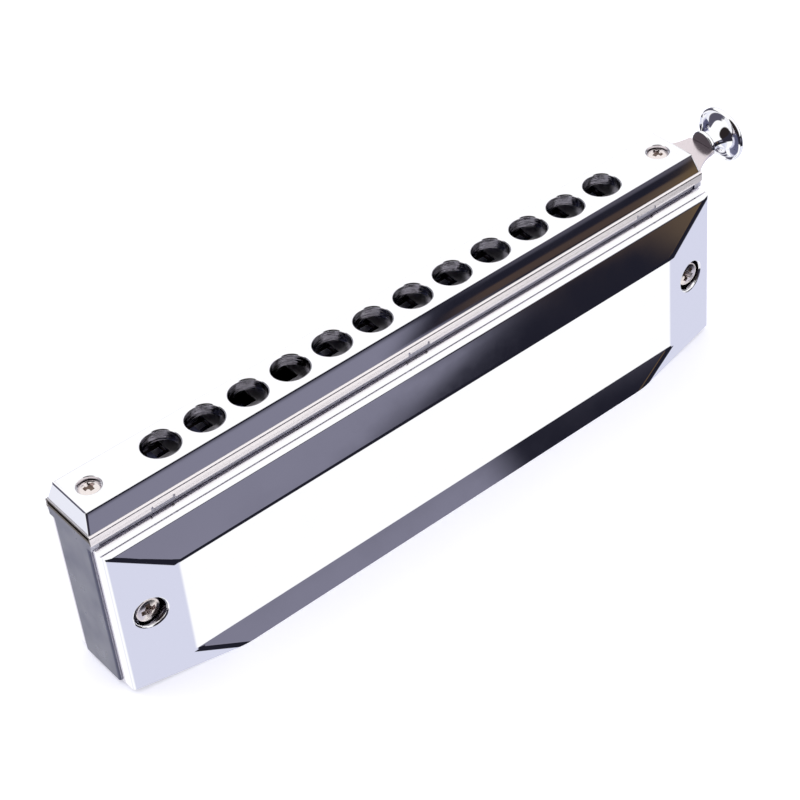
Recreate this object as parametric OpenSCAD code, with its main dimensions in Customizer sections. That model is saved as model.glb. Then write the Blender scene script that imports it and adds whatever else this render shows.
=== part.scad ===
// Chromatic harmonica with round blow holes, a slide and a slide button.
// X runs along the body towards the button, Y through its thickness and Z up
// towards the mouthpiece. The origin is the middle of the mouthpiece's flat top.
// The modules measure Z from the rear edges of the covers, which the instrument
// stands on, and in_frame lowers each finished piece to the origin.

/* [Blow holes] */
// Number of blow holes
hole_count = 12; // [10:1:14]
// Spacing of the blow holes along the mouthpiece
hole_pitch = 9.5; // [9.2:0.1:10]
// Bore of a blow hole
hole_d = 7.2; // [6.2:0.1:7.4]
// Width of the bevel round a blow hole
hole_bevel = 0.48; // [0.2:0.02:0.6]

/* [Mouthpiece] */
// Height of the mouthpiece
mouth_h = 4.1; // [3.6:0.1:5]
// Width of its flat top
mouth_top_w = 10.4; // [9.6:0.1:11.4]
// Width of its foot
mouth_foot_w = 13.1; // [12.4:0.1:13.4]
// How far its ends lean in from foot to top
mouth_end_lean = 1; // [0.2:0.1:2]
// Radius along the edges of its flat top
mouth_edge_r = 0.4; // [0.2:0.05:0.8]
// How far its foot stops short of each end of the comb
mouth_inset = 0.25; // [0:0.05:1]
// Depth of the air pocket under each blow hole
pocket_depth = 1.6; // [1:0.1:2.2]
// Wall between two neighbouring pockets
pocket_wall = 1.7; // [1:0.1:2.2]

/* [Comb] */
// Thickness of the comb between the reed plates
comb_t = 11.2; // [10.6:0.1:13]
// Height of the comb from its back to the slide cage
comb_h = 35.8; // [34:0.1:40]
// Solid block past the last cell at each end
end_block = 15.6; // [15:0.1:20]
// Wall between the front and rear rows of cells
web_t = 2; // [1.6:0.1:2.4]
// Wall between two cells of one row
cell_wall = 1; // [0.7:0.05:1.3]
// Height of the rails that carry the slide cage
rail_h = 2; // [1.6:0.1:3]
// Width of the comb across the rails
rail_w = 12.2; // [11.8:0.1:12.8]
// Length of the blocks that locate the cage at the comb's ends
block_len = 1.7; // [1:0.1:2.4]

/* [Slide and cage] */
// Sheet of the slide cage
cage_t = 0.4; // [0.3:0.05:0.5]
// Outer radius of the cage's bends
cage_bend_r = 0.55; // [0.5:0.05:0.8]
// Depth of the cage's flanges below its top face
flange_h = 2.2; // [1.8:0.1:3.2]
// How far the flanges stand proud of the mouthpiece's foot
flange_proud = 0.25; // [0.1:0.05:0.5]
// Thickness of the slide
slide_t = 0.6; // [0.5:0.05:0.8]
// Thickness of the plate behind the slide
back_plate_t = 0.6; // [0.4:0.05:0.8]
// Clearance over and under the slide
slide_gap = 0.05; // [0.03:0.01:0.08]
// Clearance beside the slide
slide_side_gap = 0.15; // [0.1:0.05:0.3]
// Distance from the middle to the inner edge of each window row
window_in = 1.2; // [1:0.1:1.6]
// Distance from the middle to the outer edge of each window row
window_out = 5.2; // [4.4:0.1:5.2]
// How much wider the webs between windows are than the windows
window_seal = 0.5; // [0.3:0.1:1]
// Width of a crimped tab in the flanges
tab_w = 4.6; // [3:0.1:7]
// Distance of the outer tabs from the comb's ends
tab_inset = 15.1; // [12:0.1:25]
// Width of the slits beside a tab
slit_w = 0.35; // [0.3:0.05:0.6]
// Height of the slits beside a tab
slit_h = 0.8; // [0.6:0.1:1.2]

/* [Button and spring] */
// Diameter of the button's head
button_d = 11.7; // [9:0.1:14]
// Length of the button from its flange to its crown
button_len = 6.8; // [6:0.1:9]
// Diameter of the flange that the slide enters
button_flange_d = 5.8; // [5.4:0.1:7]
// Diameter of the button's waist
button_waist_d = 4.6; // [4:0.1:5.2]
// Distance from the comb's end to the button's flange at rest
button_reach = 6.9; // [6.5:0.1:9]
// Half width of the slide's tongue at the button
tongue_half_w = 1.9; // [1.5:0.1:2]
// Half width of the slide's neck at its narrowest
neck_half_w = 3.35; // [2.5:0.05:4]
// Radius of the hollow on each side of the neck
neck_r = 11.85; // [10.5:0.1:13]
// Diameter of the spring's wire
wire_d = 0.7; // [0.6:0.05:0.9]
// Distance from the comb's end to the spring's wire
spring_inset = 10.2; // [9.9:0.1:10.4]
// Length of wire that is free to bend
spring_free = 22.9; // [18:0.1:26]

/* [Reed plates] */
// Thickness of a reed plate
plate_t = 1.1; // [0.9:0.05:1.3]
// How far the plates and covers stop short of the comb's ends
plate_inset = 0.5; // [0.2:0.05:1]
// Gap between a plate's front edge and the rail
plate_gap = 0.1; // [0.05:0.05:0.3]
// Length of the longest reed slot
slot_long = 18; // [15:0.5:18]
// Length of the shortest reed slot
slot_short = 11; // [8:0.5:13]
// Width of a reed slot
slot_w = 2.3; // [1.9:0.1:2.4]
// Distance from a plate's front edge to the slots
slot_margin = 5; // [4.8:0.1:5.5]
// Thickness of a reed's tongue
reed_t = 0.25; // [0.15:0.05:0.3]
// Thickness of a reed's riveted pad
pad_t = 0.5; // [0.4:0.05:0.6]
// Length of a reed's riveted pad
pad_len = 3.8; // [3.4:0.1:4]
// Diameter of a rivet's shank
rivet_d = 1; // [0.8:0.05:1.2]
// Diameter of a rivet's head
rivet_head_d = 1.8; // [1.5:0.05:1.9]
// Thickness of a valve strip
valve_t = 0.15; // [0.1:0.05:0.2]
// Width of a valve strip
valve_w = 2.9; // [2.6:0.1:3.1]

/* [Covers] */
// Sheet of the covers
cover_t = 0.6; // [0.5:0.05:0.8]
// Height of a cover's rim over the reed plate, up to its outer edge
rim_rise = 2.6; // [2.2:0.1:3]
// Height of the flat plateau over the reed plate
plateau_rise = 4.9; // [4.6:0.1:5.5]
// Height of the flared rear edge over the reed plate
rear_rise = 6.7; // [6:0.1:7.5]
// Length of the plateau
plateau_len = 119.5; // [110:0.5:124]
// Level of the plateau's lower edge
plateau_bottom = 4.5; // [3.8:0.1:5]
// Width of the plateau from its lower to its upper edge
plateau_w = 22.3; // [20:0.1:24]
// Radius between a cover's front wall and its slope
front_edge_r = 1; // [0.7:0.05:1.2]
// Radius between a cover's end walls and its facets
end_edge_r = 0.7; // [0.7:0.05:0.9]
// How far the rear corners lift off the standing plane
corner_lift = 1.2; // [0.4:0.1:1.6]
// How far the comb's back stays above the standing plane
comb_lift = 1.1; // [0.6:0.1:2]

/* [Fasteners] */
// Distance of the mouthpiece screws from the comb's ends
mouth_screw_inset = 5.4; // [5.1:0.1:6]
// Head diameter of a mouthpiece screw
mouth_head_d = 4.2; // [3.6:0.1:4.6]
// Thread diameter of a mouthpiece screw
mouth_thread_d = 2.2; // [2:0.1:2.5]
// Depth of a mouthpiece screw's seat below the flat top
mouth_head_depth = 1.5; // [1:0.1:2]
// Length of a mouthpiece screw's shank
mouth_screw_len = 10.5; // [9:0.1:12]
// Outer diameter of a threaded insert
insert_d = 4.4; // [4:0.1:4.6]
// Length of a threaded insert
insert_len = 8; // [6:0.5:10]
// Outer diameter of a slide bumper
bumper_d = 3.2; // [3:0.1:3.6]
// Distance of the cover screws from the comb's ends
cover_screw_inset = 6.6; // [6:0.1:7.2]
// Level of the cover screws
cover_screw_z = 18; // [15:0.1:21]
// Head diameter of a cover screw
cover_head_d = 4.8; // [4.2:0.1:5.2]
// Head height of a cover screw
cover_head_h = 1.6; // [1.2:0.1:2]
// Thread diameter of a cover screw
cover_thread_d = 2.5; // [2:0.1:3]
// Mouth diameter of the cups that hold the cover screws
cup_d = 7; // [6.6:0.1:7.4]
// Floor diameter of the cups
cup_floor_d = 6.1; // [6:0.1:6.4]
// Bevel round the mouth of a cup
cup_bevel = 0.35; // [0.2:0.05:0.5]
// Thickness of a cover nut
nut_h = 2; // [1.6:0.1:2.4]
// Width of a cover nut across its flats
nut_flats = 5; // [4.5:0.1:5.1]
// Head diameter of a reed plate screw
plate_head_d = 3.2; // [2.6:0.1:3.6]
// Head height of a reed plate screw
plate_head_h = 0.8; // [0.6:0.1:1]
// Thread diameter of a reed plate screw
plate_thread_d = 1.6; // [1.4:0.1:2]
// Length of a reed plate screw's shank
plate_screw_len = 4.2; // [3:0.1:5]
// Level of the lower reed plate screws
plate_screw_z = 3.7; // [3.5:0.1:4]
// Spacing of the lower reed plate screws
plate_screw_pitch = 38; // [30:1:40]
// Level of the lower screws at a plate's ends
end_screw_z = 6; // [5.5:0.1:7]
// Distance of the upper end screws below a plate's front edge
end_screw_inset = 3.8; // [3:0.1:5]
// Distance of the end screws from the outermost cells
end_screw_gap = 5; // [4:0.1:6]
// Clearance of a screw's shank in the pieces it passes through
screw_gap = 0.1; // [0.05:0.05:0.2]
// Clearance of a thread in its nut or insert
thread_gap = 0.03; // [0.02:0.01:0.05]

/* [Hidden] */
$fn = 64;
eps = 0.01;
over = 1;
big = 400;

comb_len = hole_count * hole_pitch + 2 * end_block;
half_len = comb_len / 2;
travel = hole_pitch / 2;
stack_half = comb_t / 2 + plate_t;

comb_z0 = comb_lift;
comb_z1 = comb_z0 + comb_h;
back_z1 = comb_z1 + back_plate_t;
slide_z0 = back_z1 + slide_gap;
slide_z1 = slide_z0 + slide_t;
slide_zm = slide_z0 + slide_t / 2;
channel_z1 = slide_z1 + slide_gap;
cage_z1 = channel_z1 + cage_t;
mouth_z1 = cage_z1 + mouth_h;
flange_z0 = cage_z1 - flange_h;

cage_half = stack_half + flange_proud;
cage_in_half = cage_half - cage_t;
slide_half = cage_in_half - slide_side_gap;
rail_z0 = comb_z1 - rail_h;
plate_z1 = rail_z0 - plate_gap;
plate_half_len = half_len - plate_inset;

window_w = hole_pitch / 2 - window_seal / 2;
cell_pitch = hole_pitch / 2;
cell_w = cell_pitch - cell_wall;
cell_count = 2 * hole_count;
slot_top = plate_z1 - slot_margin;
slot_end_gap = 1;
row_in = web_t / 2;

plateau_y = stack_half + plateau_rise;
rim_y = stack_half + rim_rise;
rear_y = stack_half + rear_rise;
plateau_z0 = plateau_bottom;
plateau_z1 = plateau_bottom + plateau_w;
facet_k = (plateau_y - rim_y) / (plate_half_len - plateau_len / 2);
slope_k = (plateau_y - rim_y) / (rail_z0 - plateau_z1);
flare_k = (rear_y - plateau_y) / plateau_z0;
facet_end_x = plate_half_len - (rear_y - rim_y) / facet_k;

mouth_screw_x = half_len - mouth_screw_inset;
cover_screw_x = half_len - cover_screw_inset;
spring_x = half_len - spring_inset;
spring_z0 = slide_zm - spring_free;
spring_grip = 4;
button_x = half_len + button_reach;
tongue_len = 2.2;
bumper_gap = 0.15;
stop_gap = 0.1;
end_screw_x = half_len - end_block + end_screw_gap;
cup_floor_y = stack_half + cover_t;

function hole_x(i) = (i - (hole_count - 1) / 2) * hole_pitch;
function cell_x(i) = (i - (cell_count - 1) / 2) * cell_pitch;
function slot_len(i) = slot_long + (slot_short - slot_long) * i / (cell_count - 1);
function slot_z0(i) = slot_top - slot_len(i);
function is_blow(i) = i % 2 == 0;
function cell_z0(i) = slot_z0(i) - pad_len - slot_end_gap;

// Lowers a piece so that the mouthpiece's flat top lies on Z = 0
module in_frame() {
    translate([0, 0, -mouth_z1])
        children();
}

// A 2D outline in X and Z, extruded along Y about the middle
module along_y(depth) {
    rotate([90, 0, 0])
        linear_extrude(height = depth, center = true)
            children();
}

// A 2D outline in Y and Z, extruded along X about the middle
module along_x(depth) {
    rotate([90, 0, 90])
        linear_extrude(height = depth, center = true)
            children();
}

// A cylinder whose axis runs along Y from y0 to y1
module y_cylinder(x, z, y0, y1, r0, r1) {
    translate([x, y0, z])
        rotate([-90, 0, 0])
            cylinder(h = y1 - y0, r1 = r0, r2 = r1);
}

module both_ends() {
    children();
    mirror([1, 0, 0])
        children();
}

module both_faces() {
    children();
    mirror([0, 1, 0])
        children();
}

// Trapezium with rounded top corners, foot on z = 0
module rounded_trapezium(foot_half, top_half, h, r) {
    lean = atan2(foot_half - top_half, h);
    inset = r * tan((90 - lean) / 2);
    cx = top_half - inset;
    union() {
        polygon([
            [-foot_half, 0],
            [foot_half, 0],
            [cx + r * cos(lean), h - r + r * sin(lean)],
            [cx, h],
            [-cx, h],
            [-cx - r * cos(lean), h - r + r * sin(lean)]
        ]);
        for (s = [-1, 1])
            translate([s * cx, h - r])
                circle(r = r);
    }
}

// The windows of one plate: both rows, in line with the blow holes
module window_rows(z0, h) {
    for (i = [0 : hole_count - 1], s = [-1, 1])
        translate([hole_x(i) - window_w / 2, s > 0 ? window_in : -window_out, z0])
            cube([window_w, window_out - window_in, h]);
}

module mouth_screw_holes(r, z0, h) {
    for (s = [-1, 1])
        translate([s * mouth_screw_x, 0, z0])
            cylinder(h = h, r = r);
}

module mouthpiece() {
    foot_half_len = half_len - mouth_inset;
    pocket_w = hole_pitch - pocket_wall;
    head_gap = 0.2;
    color("gainsboro")
        in_frame()
            difference() {
                intersection() {
                    translate([0, 0, cage_z1])
                        along_x(comb_len)
                            rounded_trapezium(mouth_foot_w / 2, mouth_top_w / 2, mouth_h, mouth_edge_r);
                    translate([0, 0, cage_z1])
                        along_y(comb_t * 2)
                            rounded_trapezium(foot_half_len, foot_half_len - mouth_end_lean, mouth_h,
                                mouth_edge_r);
                }
                for (i = [0 : hole_count - 1])
                    translate([hole_x(i), 0, 0]) {
                        translate([0, 0, cage_z1])
                            cylinder(h = mouth_h + over, r = hole_d / 2);
                        translate([0, 0, mouth_z1 - hole_bevel])
                            cylinder(h = 2 * hole_bevel, r1 = hole_d / 2, r2 = hole_d / 2 + 2 * hole_bevel);
                        translate([-pocket_w / 2, -window_out, cage_z1 - over])
                            cube([pocket_w, 2 * window_out, pocket_depth + over]);
                    }
                mouth_screw_holes(mouth_thread_d / 2 + screw_gap, cage_z1 - over, mouth_h + 2 * over);
                mouth_screw_holes(mouth_head_d / 2 + head_gap, mouth_z1 - mouth_head_depth,
                    mouth_head_depth + over);
            }
}

// A screw along +Z, head seat on z = 0, with a domed head and a cross recess
module domed_screw(thread_d, shank_len, head_d, head_h) {
    dome = head_h * 0.45;
    dome_r = (dome * dome + head_d * head_d / 4) / (2 * dome);
    slot_w = head_d * 0.14;
    slot_l = head_d * 0.62;
    slot_d = head_h * 0.55;
    pit_r0 = slot_w * 0.6;
    pit_r1 = slot_w * 1.8;
    difference() {
        union() {
            intersection() {
                cylinder(h = head_h, r = head_d / 2);
                translate([0, 0, head_h - dome_r])
                    sphere(r = dome_r, $fn = 96);
            }
            translate([0, 0, -shank_len])
                cylinder(h = shank_len + eps, r = thread_d / 2);
        }
        for (a = [0, 90])
            rotate([0, 0, a])
                translate([-slot_l / 2, -slot_w / 2, head_h - slot_d])
                    cube([slot_l, slot_w, head_h]);
        translate([0, 0, head_h - slot_d])
            cylinder(h = head_h, r1 = pit_r0, r2 = pit_r1);
    }
}

module mouthpiece_screws() {
    head_h = 1.35;
    head_turn = 35;
    color("silver")
        in_frame()
            for (s = [-1, 1])
                translate([s * mouth_screw_x, 0, mouth_z1 - mouth_head_depth])
                    rotate([0, 0, s * head_turn])
                        domed_screw(mouth_thread_d, mouth_screw_len, mouth_head_d, head_h);
}

// The channel's section: a top plate whose edges bend down into the flanges
module cage_section() {
    difference() {
        union() {
            translate([-cage_half, flange_z0])
                square([2 * cage_half, flange_h - cage_bend_r]);
            translate([-cage_half + cage_bend_r, cage_z1 - cage_bend_r - eps])
                square([2 * (cage_half - cage_bend_r), cage_bend_r + eps]);
            for (s = [-1, 1])
                translate([s * (cage_half - cage_bend_r), cage_z1 - cage_bend_r])
                    circle(r = cage_bend_r);
        }
        translate([-cage_in_half, flange_z0 - over])
            square([2 * cage_in_half, channel_z1 - flange_z0 + over]);
    }
}

module slide_cage() {
    tab_trim = 0.3;
    color("lightgray")
        in_frame()
            difference() {
                along_x(comb_len)
                    cage_section();
                window_rows(channel_z1 - over, cage_t + 2 * over);
                mouth_screw_holes(mouth_thread_d / 2 + screw_gap, channel_z1 - over, cage_t + 2 * over);
                for (x = [-half_len + tab_inset, 0, half_len - tab_inset])
                    translate([x, 0, flange_z0 - over]) {
                        for (s = [-1, 1])
                            translate([s * tab_w / 2 - slit_w / 2, -big / 2, 0])
                                cube([slit_w, big, slit_h + over]);
                        translate([-tab_w / 2, -big / 2, 0])
                            cube([tab_w, big, tab_trim + over]);
                    }
            }
}

module slide_back_plate() {
    edge_gap = 0.05;
    half_w = cage_in_half - edge_gap;
    color("silver")
        in_frame()
            difference() {
                translate([-half_len, -half_w, comb_z1])
                    cube([comb_len, 2 * half_w, back_plate_t]);
                window_rows(comb_z1 - over, back_plate_t + 2 * over);
                mouth_screw_holes(mouth_thread_d / 2 + screw_gap, comb_z1 - over, back_plate_t + 2 * over);
                translate([spring_x - travel - wire_d, -wire_d, comb_z1 - over])
                    cube([travel + 2 * wire_d, 2 * wire_d, back_plate_t + 2 * over]);
            }
}

// The sliding blade: a window row open at rest and one open when pressed
module slide() {
    left_x = -mouth_screw_x;
    slot_half = bumper_d / 2 + bumper_gap;
    neck_x = button_x + over;
    wire_gap = 0.25;
    color("silver")
        in_frame()
            translate([0, 0, slide_z0])
                linear_extrude(height = slide_t)
                    difference() {
                        union() {
                            translate([left_x, -slide_half])
                                square([button_x - left_x, 2 * slide_half]);
                            translate([button_x - over, -tongue_half_w])
                                square([tongue_len + over, 2 * tongue_half_w]);
                        }
                        for (s = [-1, 1])
                            translate([neck_x, s * (neck_half_w + neck_r)])
                                circle(r = neck_r, $fn = 128);
                        for (i = [0 : hole_count - 1]) {
                            translate([hole_x(i) - window_w / 2, window_in])
                                square([window_w, window_out - window_in]);
                            translate([hole_x(i) + travel - window_w / 2, -window_out])
                                square([window_w, window_out - window_in]);
                        }
                        translate([mouth_screw_x - bumper_d / 2 - stop_gap, -slot_half])
                            square([bumper_d + travel + 2 * stop_gap, 2 * slot_half]);
                        translate([left_x - over, -slot_half])
                            square([over + bumper_d / 2 + travel + stop_gap, 2 * slot_half]);
                        translate([spring_x, 0])
                            circle(r = wire_d / 2 + wire_gap);
                    }
}

// The button is turned: a flange, a waist, a trumpet flare and a low crown
module slide_button() {
    flange_t = 0.9;
    flange_r = button_flange_d / 2;
    waist_r = button_waist_d / 2;
    rim_r = button_d / 2;
    rim_round = 0.75;
    crown = 0.7;
    flare_x = button_len - crown - 2 * rim_round;
    rim_lip = 0.35;
    flare_r = rim_r - rim_round - waist_r + rim_lip;
    crown_r = (crown * crown + pow(rim_r - rim_round, 2)) / (2 * crown);
    entry_gap = 0.05;
    color("gainsboro")
        in_frame()
            translate([button_x, 0, slide_zm])
                difference() {
                    rotate([0, 90, 0])
                        rotate_extrude($fn = 96)
                            union() {
                                square([flange_r, flange_t]);
                                square([waist_r, flare_x + rim_round]);
                                difference() {
                                    translate([0, flare_x + rim_round - flare_r])
                                        square([rim_r - rim_round, flare_r]);
                                    translate([waist_r + flare_r, flare_x + rim_round - flare_r])
                                        circle(r = flare_r, $fn = 96);
                                }
                                translate([0, flare_x])
                                    square([rim_r - rim_round, 2 * rim_round]);
                                translate([rim_r - rim_round, flare_x + rim_round])
                                    circle(r = rim_round);
                                intersection() {
                                    translate([0, button_len - crown_r])
                                        circle(r = crown_r, $fn = 128);
                                    translate([0, flare_x + 2 * rim_round - eps])
                                        square([rim_r, crown + over]);
                                }
                            }
                    translate([-over, -tongue_half_w - entry_gap, -slide_t / 2 - entry_gap])
                        cube([
                            tongue_len + over + entry_gap,
                            2 * (tongue_half_w + entry_gap),
                            slide_t + 2 * entry_gap
                        ]);
                }
}

module slide_bumpers() {
    color("ivory")
        in_frame()
            for (s = [-1, 1])
                translate([s * mouth_screw_x, 0, back_z1])
                    difference() {
                        cylinder(h = channel_z1 - back_z1, r = bumper_d / 2);
                        translate([0, 0, -over])
                            cylinder(h = channel_z1 - back_z1 + 2 * over,
                                r = mouth_thread_d / 2 + thread_gap);
                    }
}

module slide_spring() {
    color("dimgray")
        in_frame()
            translate([spring_x, 0, spring_z0 - spring_grip])
                cylinder(h = spring_free + spring_grip, r = wire_d / 2);
}

module plate_screw_places() {
    for (i = [-1, 0, 1])
        translate([i * plate_screw_pitch, 0, plate_screw_z])
            children();
    for (s = [-1, 1], z = [end_screw_z, plate_z1 - end_screw_inset])
        translate([s * end_screw_x, 0, z])
            children();
}

// Shank holes of the front plate's screws; mirrored for the rear
module plate_screw_holes(y0, y1, r) {
    plate_screw_places()
        y_cylinder(0, 0, y0, y1, r, r);
}

module comb() {
    pocket_y = 1;
    comb_edge_r = 0.6;
    wire_gap = 0.1;
    tip_gap = 0.5;
    cell_out = -comb_t / 2 - over;
    screw_tip_z = mouth_z1 - mouth_head_depth - mouth_screw_len;
    color("slategray")
        in_frame()
            difference() {
                union() {
                    translate([0, 0, comb_z0])
                        linear_extrude(height = comb_h)
                            union() {
                                square([comb_len - 2 * comb_edge_r, comb_t], center = true);
                                square([comb_len, comb_t - 2 * comb_edge_r], center = true);
                                for (sx = [-1, 1], sy = [-1, 1])
                                    translate([sx * (half_len - comb_edge_r),
                                        sy * (comb_t / 2 - comb_edge_r)])
                                        circle(r = comb_edge_r);
                            }
                    translate([-half_len, -rail_w / 2, rail_z0])
                        cube([comb_len, rail_w, rail_h]);
                    both_ends()
                        translate([half_len - block_len, -cage_in_half, rail_z0])
                            cube([block_len, 2 * cage_in_half, rail_h]);
                }
                for (i = [0 : cell_count - 1], s = [-1, 1])
                    translate([cell_x(i) - cell_w / 2, s > 0 ? row_in : -comb_t / 2, cell_z0(i)])
                        cube([cell_w, comb_t / 2 - row_in, comb_z1 - cell_z0(i) + over]);
                for (i = [0 : cell_count - 1], s = [-1, 1])
                    translate([cell_x(i) - cell_w / 2, s > 0 ? row_in : cell_out, cell_z0(i)])
                        cube([cell_w, comb_t / 2 - row_in + over, rail_z0 - cell_z0(i)]);
                mouth_screw_holes(insert_d / 2, comb_z1 - insert_len, insert_len + over);
                mouth_screw_holes(mouth_thread_d / 2 + screw_gap, screw_tip_z - tip_gap,
                    comb_z1 - screw_tip_z);
                for (s = [-1, 1])
                    y_cylinder(s * cover_screw_x, cover_screw_z, -comb_t, comb_t,
                        cover_thread_d / 2 + screw_gap, cover_thread_d / 2 + screw_gap);
                translate([spring_x - travel - wire_d / 2 - wire_gap, -pocket_y, spring_z0])
                    cube([travel + wire_d + 2 * wire_gap, 2 * pocket_y, comb_z1]);
                translate([spring_x, 0, spring_z0 - spring_grip])
                    cylinder(h = spring_grip + over, r = wire_d / 2);
                both_faces()
                    plate_screw_holes(stack_half - plate_screw_len, stack_half,
                        plate_thread_d / 2 + thread_gap);
            }
}

module threaded_inserts() {
    color("goldenrod")
        in_frame()
            difference() {
                mouth_screw_holes(insert_d / 2, comb_z1 - insert_len, insert_len);
                mouth_screw_holes(mouth_thread_d / 2 + thread_gap, comb_z1 - insert_len - over,
                    insert_len + 2 * over);
            }
}

// Where the rivet of a slot's reed stands
function rivet_z(i) = is_blow(i) ? slot_z0(i) - pad_len / 2 : slot_top + pad_len / 2;

// One reed plate, on the +Y side
module reed_plate() {
    difference() {
        translate([-plate_half_len, comb_t / 2, comb_z0])
            cube([2 * plate_half_len, plate_t, plate_z1 - comb_z0]);
        for (i = [0 : cell_count - 1]) {
            translate([cell_x(i) - slot_w / 2, comb_t / 2 - over, slot_z0(i)])
                cube([slot_w, plate_t + 2 * over, slot_len(i)]);
            y_cylinder(cell_x(i), rivet_z(i), comb_t / 2 - over, stack_half + over,
                rivet_d / 2 + thread_gap, rivet_d / 2 + thread_gap);
        }
        for (s = [-1, 1])
            y_cylinder(s * cover_screw_x, cover_screw_z, comb_t / 2 - over, stack_half + over,
                cover_thread_d / 2 + screw_gap, cover_thread_d / 2 + screw_gap);
        plate_screw_holes(comb_t / 2 - over, stack_half + over, plate_thread_d / 2 + screw_gap);
    }
}

module front_reed_plate() {
    color("khaki")
        in_frame()
            mirror([0, 1, 0])
                reed_plate();
}

module rear_reed_plate() {
    color("khaki")
        in_frame()
            reed_plate();
}

// One reed on the +Y plate: blow reeds inside it, draw reeds outside it
module reed(i) {
    side_gap = 0.1;
    reed_w = slot_w - 2 * side_gap;
    tip_gap = 0.1;
    y_face = is_blow(i) ? comb_t / 2 : stack_half;
    side = is_blow(i) ? -1 : 1;
    pad_z0 = is_blow(i) ? slot_z0(i) - pad_len : slot_top;
    tongue_z0 = is_blow(i) ? slot_z0(i) - eps : slot_z0(i) + tip_gap;
    reed_len = slot_len(i) - tip_gap + eps;
    difference() {
        union() {
            translate([cell_x(i) - reed_w / 2, side > 0 ? y_face : y_face - reed_t, tongue_z0])
                cube([reed_w, reed_t, reed_len]);
            translate([cell_x(i) - reed_w / 2, side > 0 ? y_face : y_face - pad_t, pad_z0])
                cube([reed_w, pad_t, pad_len]);
        }
        y_cylinder(cell_x(i), rivet_z(i), comb_t / 2 - 2 * over, stack_half + 2 * over,
            rivet_d / 2 + thread_gap, rivet_d / 2 + thread_gap);
    }
}

module reeds(first) {
    for (i = [first : 2 : cell_count - 1])
        reed(i);
}

module front_blow_reeds() {
    color("gold")
        in_frame()
            mirror([0, 1, 0])
                reeds(0);
}

module front_draw_reeds() {
    color("gold")
        in_frame()
            mirror([0, 1, 0])
                reeds(1);
}

module rear_blow_reeds() {
    color("gold")
        in_frame()
            reeds(0);
}

module rear_draw_reeds() {
    color("gold")
        in_frame()
            reeds(1);
}

// Rivets of the +Y plate: a head on the reed's pad and one on the bare side
module rivets() {
    head_h = 0.35;
    head_bevel = 0.15;
    for (i = [0 : cell_count - 1]) {
        y0 = is_blow(i) ? comb_t / 2 - pad_t : comb_t / 2;
        y1 = is_blow(i) ? stack_half : stack_half + pad_t;
        y_cylinder(cell_x(i), rivet_z(i), y0 - eps, y1 + eps, rivet_d / 2, rivet_d / 2);
        y_cylinder(cell_x(i), rivet_z(i), y0 - head_h, y0, rivet_head_d / 2 - head_bevel, rivet_head_d / 2);
        y_cylinder(cell_x(i), rivet_z(i), y1, y1 + head_h, rivet_head_d / 2, rivet_head_d / 2 - head_bevel);
    }
}

module front_reed_rivets() {
    color("darkgoldenrod")
        in_frame()
            mirror([0, 1, 0])
                rivets();
}

module rear_reed_rivets() {
    color("darkgoldenrod")
        in_frame()
            rivets();
}

// Valve strips close each slot on the side away from its reed
module valves(first, outside) {
    overlap = 0.7;
    for (i = [first : 2 : cell_count - 1])
        translate([cell_x(i) - valve_w / 2, outside ? stack_half : comb_t / 2 - valve_t,
            slot_z0(i) - overlap])
            cube([valve_w, valve_t, slot_len(i) + 2 * overlap]);
}

module front_outer_valves() {
    color("whitesmoke")
        in_frame()
            mirror([0, 1, 0])
                valves(0, true);
}

module front_inner_valves() {
    color("whitesmoke")
        in_frame()
            mirror([0, 1, 0])
                valves(1, false);
}

module rear_outer_valves() {
    color("whitesmoke")
        in_frame()
            valves(0, true);
}

module rear_inner_valves() {
    color("whitesmoke")
        in_frame()
            valves(1, false);
}

// Screws of the +Y plate
module plate_screws() {
    slot_half_w = 0.25;
    head_bevel = 0.3;
    difference() {
        union() {
            plate_screw_holes(stack_half - plate_screw_len, stack_half + eps, plate_thread_d / 2);
            plate_screw_places()
                y_cylinder(0, 0, stack_half, stack_half + plate_head_h, plate_head_d / 2,
                    plate_head_d / 2 - head_bevel);
        }
        plate_screw_places()
            translate([-plate_head_d, stack_half + plate_head_h / 2, -slot_half_w])
                cube([2 * plate_head_d, plate_head_h, 2 * slot_half_w]);
    }
}

module front_plate_screws() {
    color("silver")
        in_frame()
            mirror([0, 1, 0])
                plate_screws();
}

module rear_plate_screws() {
    color("silver")
        in_frame()
            plate_screws();
}

// Cover section in Y and Z, drawn in by the given depth of sheet
module cover_section(inset, edge_r) {
    slope_s = sqrt(1 + slope_k * slope_k);
    flare_s = sqrt(1 + flare_k * flare_k);
    top_z = rail_z0 - inset;
    flat_y = plateau_y - inset;
    edge_y = rim_y - inset * slope_s + slope_k * inset;
    bend_top = plateau_z1 - inset * (slope_s - 1) / slope_k;
    bend_low = plateau_z0 - inset * (flare_s - 1) / flare_k;
    low_y = flat_y + flare_k * (bend_low + over);
    turn = 90 - atan(slope_k);
    reach = edge_r * tan(turn / 2);
    union() {
        polygon([
            [stack_half, top_z],
            [edge_y - reach, top_z],
            [edge_y + reach * sin(90 - turn), top_z - reach * cos(90 - turn)],
            [flat_y, bend_top],
            [flat_y, bend_low],
            [low_y, -over],
            [stack_half, -over]
        ]);
        translate([edge_y - reach, top_z - edge_r])
            circle(r = edge_r);
    }
}

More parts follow.
